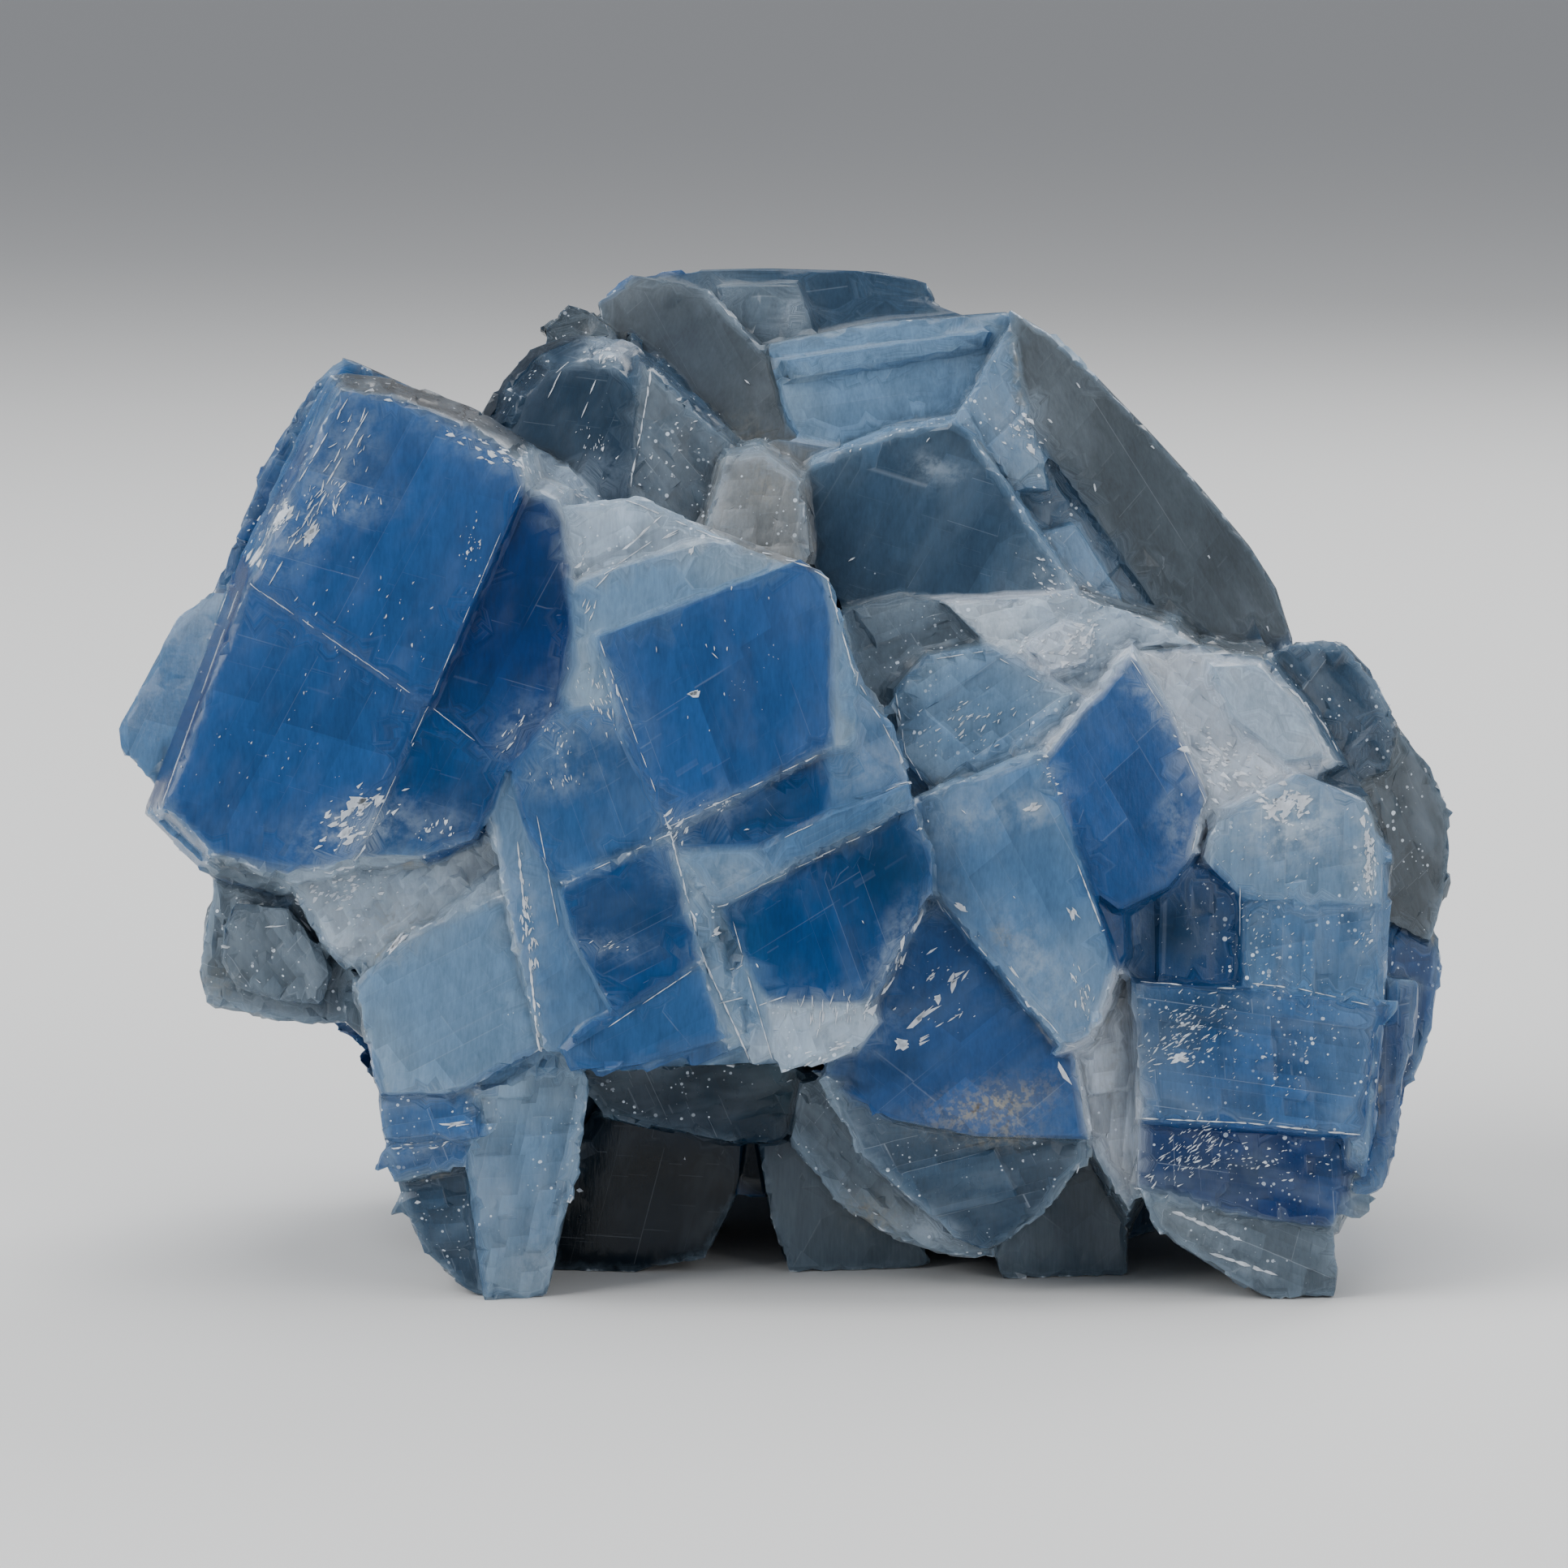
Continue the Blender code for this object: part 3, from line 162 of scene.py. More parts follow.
FACES = {
    "left_upper": Face((26.0, 36.0), "azure", 10.0, grain=LEFT_GRAIN),
    "left_lower": Face((18.0, 45.0), "azure", 11.0, grain=LEFT_GRAIN),
    "left_dark_corner": Face((32.5, 37.0), "navy", 6.5, grain=LEFT_GRAIN),
    "left_lower_corner": Face((27.8, 48.0), "deep", 5.0, grain=LEFT_GRAIN),
    "left_bevel_top": Face((18.0, 29.5), "deep", 3.0, STEPPED, LEFT_GRAIN),
    "left_bevel_low": Face((12.0, 42.5), "navy", 5.0, grain=LEFT_GRAIN),
    "left_strip": Face((16.0, 31.5), "deep", 3.0, STEPPED, LEFT_GRAIN),
    "left_top_edge": Face((26.5, 24.5), "ash", 3.0, STEPPED),
    "left_flange": Face((10.0, 44.0), "soft", 5.0, grain=LEFT_GRAIN),
    "lump": Face((17.5, 59.0), "grey", 4.0, ROUGH),
    "milky_shoulder": Face((24.0, 55.0), "milky", 4.0, ROUGH),
    "pale_face": Face((29.0, 61.5), "pale", 6.0, grain=27.0),
    "ledge_top": Face((26.0, 68.5), "sky", 3.0, STEPPED, 8.0),
    "ledge_middle": Face((26.5, 71.0), "sky", 3.0, STEPPED, 8.0),
    "prong_left": Face((27.5, 75.5), "slate", 5.0, STEPPED, 8.0),
    "prong_right": Face((32.0, 73.0), "pale", 5.0, ROUGH, 80.0),
    "centre_main": Face((45.0, 43.0), "azure", 7.0, grain=CENTRE_GRAIN),
    "centre_top_ledge": Face((40.0, 37.4), "pale", 4.0, grain=27.0),
    "centre_crown": Face((39.5, 34.0), "milky", 4.0, STEPPED, 27.0),
    "centre_left_upper": Face((37.6, 49.5), "sky", 5.0, grain=CENTRE_GRAIN),
    "centre_deep_step": Face((47.0, 49.6), "deep", 5.0, grain=27.0),
    "centre_pale_step_left": Face((45.0, 54.0), "pale", 3.0, grain=27.0),
    "centre_pale_step_right": Face((51.0, 51.6), "soft", 3.5, grain=27.0),
    "centre_deep_cell": Face((39.0, 57.0), "deep", 5.0, grain=27.0),
    "centre_left_column": Face((34.5, 59.0), "soft", 5.0, grain=CENTRE_GRAIN),
    "centre_foot_cell": Face((40.5, 63.5), "sky", 5.0, grain=27.0),
    "centre_dark_cell": Face((51.5, 56.0), "deep", 6.5, grain=CENTRE_GRAIN),
    "centre_white_foot": Face((50.5, 63.8), "milky", 3.0, STEPPED, CENTRE_GRAIN),
    "centre_ladder": Face((45.0, 59.8), "pale", 3.0, STEPPED, 20.0),
    "centre_upper_edge": Face((51.8, 41.0), "pale", 3.0, grain=-75.0),
    "centre_lower_edge": Face((53.5, 48.0), "soft", 3.5, grain=27.0),
    "keel_face": Face((58.0, 65.5), "azure", 7.5, grain=40.0),
    "keel_under": Face((60.0, 73.0), "slate", 6.0, STEPPED, 15.0),
    "keel_rim": Face((51.5, 71.5), "grey", 4.0, ROUGH, -50.0),
    "corner_wedge": Face((66.5, 76.5), "grey", 5.0, GLASSY, 40.0),
    "slab": Face((68.8, 67.0), "frost", 4.0, STEPPED, 85.0),
    "back_foot_left": Face((40.0, 73.0), "shaded_black", 9.0, GLASSY, 75.0),
    "back_foot_middle": Face((51.5, 75.6), "grey", 6.0, GLASSY, -40.0),
    "overhang": Face((42.0, 67.5), "teal", 4.5, STEPPED, 12.0),
    "milky_face": Face((62.0, 54.0), "soft", 5.0, grain=-62.0),
    "pointed_face": Face((69.0, 50.0), "azure", 6.5, grain=-60.0),
    "grey_face": Face((60.5, 44.5), "pale", 4.0, STEPPED, 35.0),
    "shelf": Face((56.0, 40.5), "grey", 4.0, STEPPED, 20.0),
    "saddle": Face((68.5, 39.8), "milky", 4.0, ROUGH, 20.0),
    "saddle_knob": Face((65.5, 40.0), "frost", 2.5, ROUGH, 20.0),
    "knot": Face((74.5, 46.5), "frost", 4.0, ROUGH, -40.0),
    "lens": Face((78.0, 44.0), "milky", 3.0, GLASSY, -40.0),
    "dark_face": Face((56.5, 32.5), "slate", 7.0, GLASSY, 60.0),
    "cream_face": Face((47.0, 31.0), "cream", 3.5, STEPPED, 80.0),
    "dome": Face((35.5, 26.5), "ink", 10.0, DULL, 70.0),
    "dome_foot": Face((35.0, 29.5), "milky", 2.0, STEPPED, 60.0),
    "dome_left": Face((32.0, 22.5), "shaded_black", 6.0, DULL, 60.0),
    "dome_top": Face((35.0, 21.5), "ink", 4.0, DULL, 60.0),
    "dome_cap": Face((37.5, 21.5), "slate", 2.0, STEPPED, 60.0),
    "flank": Face((42.0, 28.0), "grey", 5.0, STEPPED, -50.0),
    "small_tip": Face((35.6, 20.5), "smoke", 3.0, STEPPED, 50.0),
    "olive_face": Face((43.0, 22.0), "smoke", 6.0, DULL, -60.0),
    "top_face": Face((52.0, 18.0), "slate", 6.0, GLASSY, 10.0),
    "top_bump": Face((47.0, 18.8), "grey", 3.0, GLASSY, 80.0),
    "slab_face": Face((55.0, 24.0), "pale", 6.0, GLASSY, 10.0),
    "slab_band": Face((55.0, 21.6), "pale", 6.0, GLASSY, 10.0),
    "ridge_top": Face((61.5, 25.0), "pale", 4.0, STEPPED, -60.0),
    "ridge_run": Face((66.5, 33.5), "pale", 5.0, STEPPED, -55.0),
    "ridge_left": Face((66.5, 32.5), "slate", 4.0, STEPPED, -55.0),
    "saddle_top": Face((69.5, 37.5), "smoke", 3.0, STEPPED, 20.0),
    "under_arch": Face((46.0, 72.5), "shaded_black", 3.0, GLASSY, 75.0),
    "grey_wall": Face((72.0, 32.0), "smoke", 8.0, DULL, -55.0),
    "right_pale_top": Face((80.0, 52.0), "pale", 5.0, STEPPED, 88.0),
    "right_upper": Face((81.0, 58.5), "soft", 5.0, STEPPED, 88.0),
    "right_dark_left": Face((73.0, 58.5), "deep", 7.0, STEPPED, 88.0),
    "right_middle_band": Face((77.0, 65.5), "sky", 4.0, STEPPED, -8.0),
    "right_lower_band": Face((76.0, 72.0), "navy", 6.0, STEPPED, -8.0),
    "right_tip": Face((78.5, 76.8), "grey", 4.0, STEPPED, -25.0),
    "right_first_step": Face((85.0, 60.0), "soft", 4.0, STEPPED, 88.0),
    "right_second_step": Face((86.0, 66.0), "deep", 4.0, STEPPED, 88.0),
    "shoulder": Face((82.0, 43.5), "slate", 5.0, STEPPED, -50.0),
    "mass_upper": Face((87.5, 51.0), "smoke", 5.0, STEPPED, -60.0),
}

# How far past its reach a drawn face lends its tone to its neighbours, in millimetres
TONE_SPREAD = 7.0


@dataclass(frozen=True)
class Bruise:
    """A spread of crushed flakes on the sheet: its middle, half length and half width along its lean, how
    many flakes, the length and width of the largest, and their own lean. Leans are in degrees from level."""

    middle: tuple
    spread: tuple
    lean: float
    count: int
    flake: tuple
    flake_lean: float


# Each line is (its points, its width, the share of it that is missing)
WHITE_LINES = (
    ([(14.6, 36.6), (10.1, 49.3)], 0.17, 0.15),
    ([(15.4, 36.0), (26.5, 43.5), (31.2, 47.2)], 0.05, 0.25),
    ([(32.0, 30.1), (26.4, 43.4), (22.0, 53.0)], 0.045, 0.4),
    ([(22.6, 25.5), (16.6, 36.0)], 0.14, 0.35),
    ([(21.4, 24.6), (15.6, 34.5)], 0.13, 0.5),
    ([(36.8, 36.1), (38.0, 34.8), (41.4, 32.5)], 0.14, 0.25),
    ([(38.6, 30.8), (44.5, 33.3), (49.8, 34.9), (50.9, 35.6)], 0.14, 0.3),
    ([(51.0, 35.9), (52.6, 41.5), (55.6, 46.8)], 0.12, 0.3),
    ([(31.9, 52.0), (32.3, 56.0), (33.2, 64.6)], 0.24, 0.35),
    ([(33.1, 50.4), (34.4, 57.0)], 0.08, 0.1),
    ([(37.0, 39.6), (41.2, 51.0)], 0.08, 0.35),
    ([(41.2, 51.0), (43.3, 59.0), (46.2, 65.3)], 0.17, 0.08),
    ([(45.2, 56.9), (46.1, 60.2), (47.5, 65.0)], 0.11, 0.15),
    ([(44.8, 59.8), (46.0, 59.4)], 0.1, 0.0),
    ([(44.4, 61.8), (46.0, 61.4)], 0.12, 0.0),
    ([(46.6, 62.0), (48.3, 61.4)], 0.1, 0.1),
    ([(37.6, 63.2), (43.2, 59.4)], 0.11, 0.1),
    ([(41.3, 50.9), (51.2, 46.1)], 0.07, 0.45),
    ([(34.4, 54.6), (41.2, 51.4)], 0.06, 0.5),
    ([(47.0, 52.2), (56.0, 48.1)], 0.06, 0.5),
    ([(44.0, 56.0), (56.4, 49.8)], 0.06, 0.55),
    ([(57.6, 55.4), (62.0, 60.2), (66.2, 64.7)], 0.09, 0.35),
    ([(66.4, 53.3), (67.8, 57.0)], 0.17, 0.0),
    ([(57.0, 40.7), (60.8, 40.1), (66.0, 43.2)], 0.09, 0.4),
    ([(55.2, 42.8), (55.8, 46.4), (57.2, 48.6)], 0.1, 0.35),
    ([(69.8, 40.8), (72.0, 44.2), (74.2, 49.2), (73.4, 52.6)], 0.07, 0.5),
    ([(79.4, 42.4), (81.4, 44.4), (82.4, 46.3)], 0.22, 0.05),
    ([(76.4, 60.5), (80.0, 60.9), (84.2, 61.9)], 0.13, 0.45),
    ([(70.4, 68.9), (77.0, 69.2), (83.6, 69.9)], 0.16, 0.35),
    ([(70.3, 60.5), (76.0, 60.9)], 0.15, 0.5),
    ([(76.4, 54.0), (76.4, 57.6)], 0.09, 0.1),
    ([(72.2, 74.6), (76.4, 76.4)], 0.42, 0.0),
    ([(74.6, 77.2), (78.5, 78.5)], 0.36, 0.1),
    ([(36.9, 22.8), (35.9, 25.6), (35.9, 27.5)], 0.14, 0.25),
    ([(40.1, 22.9), (39.6, 25.9), (38.8, 30.0)], 0.18, 0.15),
    ([(34.8, 22.3), (33.2, 25.8)], 0.08, 0.4),
)

BRUISES = [Bruise(*values) for values in (
    ((20.0, 30.0), (5.5, 1.2), 62, 40, (1.3, 0.17), 62),
    ((17.3, 32.2), (1.8, 0.9), 60, 16, (0.9, 0.5), 40),
    ((21.5, 31.2), (2.2, 0.5), 10, 8, (0.8, 0.2), 80),
    ((15.7, 34.6), (0.5, 0.4), 60, 5, (1.6, 1.1), 60),
    ((17.3, 31.7), (0.5, 0.2), 60, 4, (1.4, 0.7), 60),
    ((18.9, 32.8), (0.6, 0.5), 20, 5, (1.3, 0.8), 50),
    ((22.0, 49.5), (0.8, 0.4), 15, 5, (1.5, 0.9), 30),
    ((21.4, 51.3), (0.8, 0.5), 10, 5, (1.4, 0.9), 40),
    ((21.8, 50.5), (2.8, 1.3), 20, 34, (1.0, 0.5), 30),
    ((26.5, 51.0), (1.8, 0.7), 15, 12, (0.5, 0.3), 60),
    ((29.2, 33.6), (0.8, 1.6), 0, 16, (0.4, 0.2), 70),
    ((31.6, 45.2), (1.6, 0.5), 55, 9, (0.9, 0.18), 60),
    ((23.0, 38.0), (6.0, 5.0), 0, 30, (0.35, 0.14), 65),
    ((17.0, 46.0), (5.0, 4.0), 0, 22, (0.25, 0.14), 60),
    ((31.5, 28.4), (6.0, 0.6), -26, 34, (0.8, 0.4), -20),
    ((39.6, 32.8), (0.1, 0.1), 0, 1, (3.8, 0.32), 33),
    ((41.3, 32.9), (0.2, 0.2), 0, 2, (1.4, 0.2), 28),
    ((36.0, 34.0), (0.5, 1.4), 0, 7, (0.9, 0.4), 65),
    ((36.3, 37.2), (0.5, 0.9), 0, 5, (0.9, 0.22), 72),
    ((42.6, 33.9), (0.2, 0.2), 0, 2, (0.7, 0.5), 60),
    ((36.8, 43.0), (2.6, 1.2), -65, 24, (0.7, 0.18), -75),
    ((34.3, 45.5), (2.0, 0.8), -60, 15, (0.5, 0.2), 80),
    ((42.7, 42.8), (0.15, 0.15), 0, 3, (0.9, 0.6), 30),
    ((45.5, 40.5), (3.5, 3.5), 0, 14, (0.35, 0.16), -80),
    ((34.5, 47.9), (2.2, 0.5), 5, 10, (0.6, 0.16), -80),
    ((41.6, 51.0), (1.0, 0.8), 60, 12, (0.9, 0.3), 55),
    ((44.2, 49.7), (1.6, 0.3), 5, 8, (0.4, 0.25), 30),
    ((37.5, 58.3), (2.2, 0.3), -5, 7, (0.5, 0.16), 30),
    ((32.6, 57.5), (5.0, 0.35), -84, 32, (0.8, 0.28), -80),
    ((44.1, 57.5), (0.15, 0.15), 0, 3, (0.9, 0.7), 30),
    ((51.0, 62.4), (2.6, 1.1), 0, 30, (1.1, 0.12), 88),
    ((51.4, 64.6), (1.6, 0.4), 25, 11, (0.8, 0.3), 20),
    ((56.45, 56.95), (0.1, 0.1), 0, 2, (1.8, 0.7), 65),
    ((55.3, 59.2), (1.4, 0.3), 65, 6, (1.2, 0.3), 72),
    ((54.6, 60.9), (0.2, 0.1), 65, 2, (1.4, 0.5), 65),
    ((53.7, 62.3), (0.1, 0.1), 0, 2, (1.1, 0.8), 50),
    ((58.8, 55.8), (0.6, 0.3), -40, 4, (0.8, 0.4), -30),
    ((57.4, 58.7), (0.1, 0.1), 0, 1, (1.0, 0.4), 50),
    ((57.3, 60.2), (0.5, 0.2), 40, 3, (0.6, 0.2), 40),
    ((58.9, 60.4), (0.7, 0.4), 50, 5, (1.1, 0.45), 40),
    ((56.8, 62.6), (0.9, 0.1), 38, 3, (1.9, 0.5), 38),
    ((57.8, 61.5), (0.1, 0.2), 0, 2, (0.7, 0.6), 60),
    ((55.5, 64.3), (0.4, 0.2), -20, 4, (1.1, 0.7), 10),
    ((56.9, 64.0), (0.7, 0.1), 35, 3, (1.1, 0.3), 35),
    ((58.6, 62.8), (1.2, 0.1), 28, 4, (0.8, 0.18), 28),
    ((57.8, 60.5), (2.8, 3.2), 0, 24, (0.3, 0.15), 40),
    ((62.3, 59.8), (0.2, 0.1), 0, 2, (1.1, 0.22), -50),
    ((65.5, 66.1), (0.1, 0.1), 0, 1, (1.9, 0.6), -65),
    ((66.0, 56.1), (0.9, 0.3), -60, 5, (1.0, 0.3), -58),
    ((66.8, 61.5), (2.5, 0.5), -75, 16, (0.9, 0.2), -80),
    ((63.6, 49.8), (0.3, 0.3), 0, 4, (0.9, 0.6), 40),
    ((64.6, 47.6), (1.2, 0.3), -60, 8, (0.5, 0.25), 10),
    ((59.5, 44.4), (3.2, 1.4), 20, 28, (0.7, 0.18), 40),
    ((66.6, 39.6), (1.6, 0.9), 20, 30, (0.9, 0.6), 30),
    ((63.3, 39.7), (1.2, 0.5), 10, 8, (0.5, 0.4), 10),
    ((76.0, 47.5), (4.5, 1.6), -35, 60, (0.9, 0.6), -20),
    ((79.2, 49.8), (1.4, 1.0), 0, 26, (1.6, 1.1), 20),
    ((84.3, 53.2), (2.8, 0.5), -88, 44, (0.9, 0.5), 85),
    ((84.2, 57.8), (1.2, 0.5), 60, 9, (0.6, 0.35), 60),
    ((78.0, 60.0), (6.0, 10.0), 0, 190, (0.3, 0.1), 40),
    ((72.6, 65.2), (0.4, 0.3), 0, 5, (0.9, 0.6), 20),
    ((73.2, 63.6), (2.8, 2.0), 20, 90, (0.7, 0.16), 30),
    ((73.2, 71.2), (2.8, 1.6), 30, 90, (0.7, 0.16), 40),
    ((78.0, 71.8), (4.0, 1.5), 0, 34, (0.4, 0.2), 10),
    ((37.2, 21.9), (1.3, 0.5), -10, 14, (0.9, 0.6), 60),
    ((36.5, 27.5), (1.5, 1.6), 0, 18, (0.4, 0.15), 75),
    ((42.5, 28.0), (2.0, 2.6), 0, 14, (0.45, 0.3), 30),
    ((64.5, 36.0), (1.6, 0.5), -55, 12, (0.5, 0.25), -40),
    ((63.0, 26.8), (1.2, 0.8), -50, 16, (0.8, 0.5), -50),
    ((66.5, 36.2), (3.0, 0.7), -35, 18, (0.6, 0.35), -30),
    ((24.4, 58.2), (0.8, 0.1), 55, 4, (1.8, 0.5), 55),
    ((20.8, 54.8), (3.0, 1.2), 10, 44, (0.8, 0.45), 20),
    ((18.9, 57.0), (0.1, 0.1), 0, 1, (1.7, 0.25), -58),
    ((16.9, 57.1), (0.5, 0.1), 0, 2, (1.2, 0.18), 0),
    ((13.8, 58.3), (0.4, 0.1), 0, 3, (0.9, 0.25), 0),
    ((27.4, 69.3), (1.0, 0.2), 5, 5, (1.6, 0.22), 4),
    ((26.0, 70.6), (2.0, 0.4), 10, 10, (0.8, 0.2), 10),
    ((25.7, 74.1), (0.1, 0.1), 0, 1, (0.6, 0.5), 0),
    ((35.7, 73.4), (0.1, 0.1), 0, 1, (0.6, 0.5), 0),
)]

# A bruise of fewer flakes than FEW is drawn flake by flake; narrow ones of more also have a haze round them
FEW = 6
HAZE_WIDTH = 1.3
HAZE_MARGIN = 0.4
BRUISE_HAZE = 0.35

# Soft patches, by attribute: milk in the stone, painted shade in recesses and under overhangs, which also
# darkens some deep zones, and stains. Each is (middle on the sheet, half length and width, lean, strength)
SOFT_PATCHES = {
    "milk_patch": (
        ((17.4, 33.2), (2.2, 0.7), 62, 0.5),
        ((21.8, 51.2), (3.2, 1.4), 20, 0.75),
        ((33.0, 29.4), (4.0, 0.9), -28, 0.6),
        ((36.2, 33.5), (1.4, 2.6), 0, 0.5),
        ((41.5, 52.5), (1.8, 1.0), 60, 0.4),
        ((44.8, 54.3), (2.6, 1.3), 20, 0.5),
        ((51.0, 63.4), (3.4, 1.5), 8, 0.9),
        ((55.0, 58.6), (3.4, 0.8), 68, 0.5),
        ((57.5, 55.6), (1.2, 0.8), 0, 0.6),
        ((53.6, 47.2), (2.4, 1.4), 0, 0.35),
        ((60.0, 50.2), (3.2, 1.5), 20, 0.45),
        ((64.0, 60.0), (4.0, 1.6), -60, 0.5),
        ((63.5, 50.0), (0.9, 0.9), 0, 0.7),
        ((71.6, 43.0), (2.4, 1.4), -60, 0.7),
        ((72.6, 51.0), (2.4, 0.8), -75, 0.5),
        ((75.0, 44.0), (4.5, 2.4), -35, 0.6),
        ((79.4, 50.2), (3.4, 2.6), 0, 1.0),
        ((84.2, 53.0), (3.0, 0.8), -88, 0.7),
        ((66.5, 39.8), (2.0, 0.8), 10, 0.8),
        ((37.3, 21.6), (1.3, 0.8), -10, 1.0),
        ((37.0, 29.4), (2.0, 1.2), 30, 0.5),
        ((48.9, 19.3), (1.2, 0.9), 60, 0.8),
        ((44.2, 18.2), (1.0, 1.4), 0, 0.35),
        ((57.5, 28.9), (1.5, 0.8), -20, 0.5),
        ((63.0, 26.5), (1.4, 2.0), 0, 0.6),
        ((47.5, 28.6), (1.6, 0.8), -20, 0.5),
        ((24.8, 57.6), (2.4, 0.9), 50, 0.5),
        ((20.5, 55.0), (3.0, 1.2), 5, 0.6),
        ((26.0, 67.4), (2.6, 0.5), 6, 0.5),
        ((33.0, 78.0), (1.6, 2.0), 0, 0.4),
        ((57.5, 75.8), (1.8, 0.7), -15, 0.9),
        ((53.0, 70.0), (0.9, 2.2), 30, 0.35),
        ((74.6, 75.7), (2.6, 0.4), -22, 0.6),
        ((76.6, 77.9), (2.2, 0.4), -20, 0.6),
        ((70.0, 66.0), (0.7, 5.0), 0, 0.5),
    ),
    "shade_patch": (
        ((33.5, 36.0), (4.0, 1.6), 75, 0.35),
        ((47.8, 50.0), (3.4, 1.2), 27, 0.4),
        ((54.5, 53.0), (3.0, 2.4), -60, 0.65),
        ((39.2, 56.6), (2.8, 2.0), 27, 0.3),
        ((44.6, 57.2), (1.0, 2.6), 20, 0.5),
        ((55.6, 65.6), (2.2, 1.0), 10, 0.4),
        ((62.0, 75.2), (3.5, 1.0), 35, 0.5),
        ((53.5, 70.0), (2.6, 0.8), -55, 0.5),
        ((42.0, 69.5), (6.0, 1.4), 0, 0.6),
        ((47.0, 70.5), (2.4, 2.0), 0, 0.7),
        ((40.0, 75.5), (3.6, 3.0), 0, 0.3),
        ((66.0, 75.0), (1.6, 3.0), 0, 0.6),
        ((72.6, 57.4), (3.2, 2.6), 0, 0.95),
        ((76.6, 57.8), (1.8, 2.4), 0, 0.4),
        ((69.8, 60.5), (0.7, 4.6), 0, 0.6),
        ((73.6, 62.4), (3.2, 1.8), 10, 0.65),
        ((76.0, 72.4), (4.5, 1.4), 0, 0.45),
        ((32.0, 24.6), (2.4, 4.6), -20, 0.9),
        ((38.0, 28.6), (1.6, 3.0), 0, 0.6),
        ((42.6, 21.5), (2.6, 4.0), 50, 0.4),
        ((51.0, 34.5), (1.6, 3.0), 0, 0.35),
        ((61.2, 31.4), (1.2, 5.0), -30, 0.4),
        ((56.0, 43.5), (0.6, 2.6), 0, 0.4),
        ((20.6, 61.8), (0.9, 1.4), 0, 0.6),
        ((26.4, 75.6), (1.4, 2.0), 0, 0.35),
    ),
    "stain_patch": (
        ((61.0, 68.2), (3.4, 1.2), 14, 1.0),
        ((61.6, 70.2), (2.4, 0.4), 4, 0.7),
        ((61.8, 58.0), (0.45, 0.45), 0, 0.9),
        ((53.6, 75.0), (1.6, 1.1), -20, 0.6),
        ((24.0, 56.6), (2.6, 1.6), 0, 0.3),
        ((47.0, 30.0), (1.4, 1.6), 0, 0.35),
        ((46.2, 26.5), (1.6, 0.9), -40, 0.25),
        ((56.8, 48.5), (1.4, 0.5), 20, 0.4),
        ((68.6, 66.0), (0.7, 4.0), 0, 0.35),
        ((13.6, 60.6), (1.2, 1.4), 0, 0.3),
    ),
}
PATCH_DEPTH = 5.0

# Each fill is (its outline on the sheet, how far behind the sheet its front lies). It reaches back to
# FILL_BACK, or by FILL_LENGTH where that is further
SEAM_FILLS = (
    ([(41.5, 52.9), (42.7, 52.9), (44.3, 57.0), (46.0, 64.4), (44.8, 64.8), (42.6, 57.2)], -5.15),
    ([(45.5, 59.4), (46.4, 59.4), (48.2, 64.6), (47.0, 64.9)], -5.3),
    ([(27.0, 56.4), (29.0, 54.8), (31.4, 52.9), (31.5, 55.2), (28.4, 57.4)], -2.9),
    ([(28.8, 67.4), (30.6, 65.6), (32.2, 64.8), (33.6, 64.6), (34.3, 65.0), (34.2, 65.8), (32.4, 66.2),
      (30.8, 67.0), (29.8, 67.8)], -2.4),
    ([(21.0, 60.2), (22.3, 59.9), (22.8, 63.6), (22.3, 63.9), (21.2, 62.9)], 2.3),
)
FILL_BACK = 1.5
FILL_LENGTH = 3.0

# Crushed flakes: how far each shape's corners lie from its middle, the sliver for lines first, and how wide
# its top is for its foot
FLAKE_CORNERS = (
    (0.56, 0.34, 0.34, 0.56, 0.3, 0.36),
    (0.5, 0.24, 0.5, 0.3, 0.42),
    (0.55, 0.3, 0.4, 0.2),
    (0.5, 0.44, 0.22, 0.5, 0.28),
    (0.6, 0.3, 0.36),
)
FLAKE_TAPER = 0.84

# How thick flakes are, how far they stand out and how long a line's pieces are, in millimetres
FLAKE_THICKNESS = 0.24
FLAKE_RISE = 0.04
LINE_PIECE = 0.8

# How the flakes of a bruise vary: the smallest's share of the largest, how rare large ones are, their lean in
# degrees, and the flakes laid for each one counted; then the loose flakes on each square millimetre
SMALLEST_SHARE = 0.22
LARGE_RARITY = 2.2
LEAN_WANDER = 12.0
FLAKE_CROWD = 1.7
SCATTER_DENSITY = 0.06

# What lies in and on the stone, and the painted glow and painted shade laid over its colour
WHITE = (0.76, 0.85, 0.96, 1.0)
MILK = (0.33, 0.41, 0.50, 1.0)
# Painted glow: light through thin stone near the sharp edges, laid into the colour
PAINTED_GLOW = (0.24, 0.34, 0.44, 1.0)
CREAM = (0.255, 0.245, 0.205, 1.0)
RUST = (0.092, 0.076, 0.052, 1.0)
# Painted shade for the shade patches, which also darkens some deep zones of the stone
SHADE = (0.001, 0.018, 0.045, 1.0)
CRUSHED_SHADE = 0.74

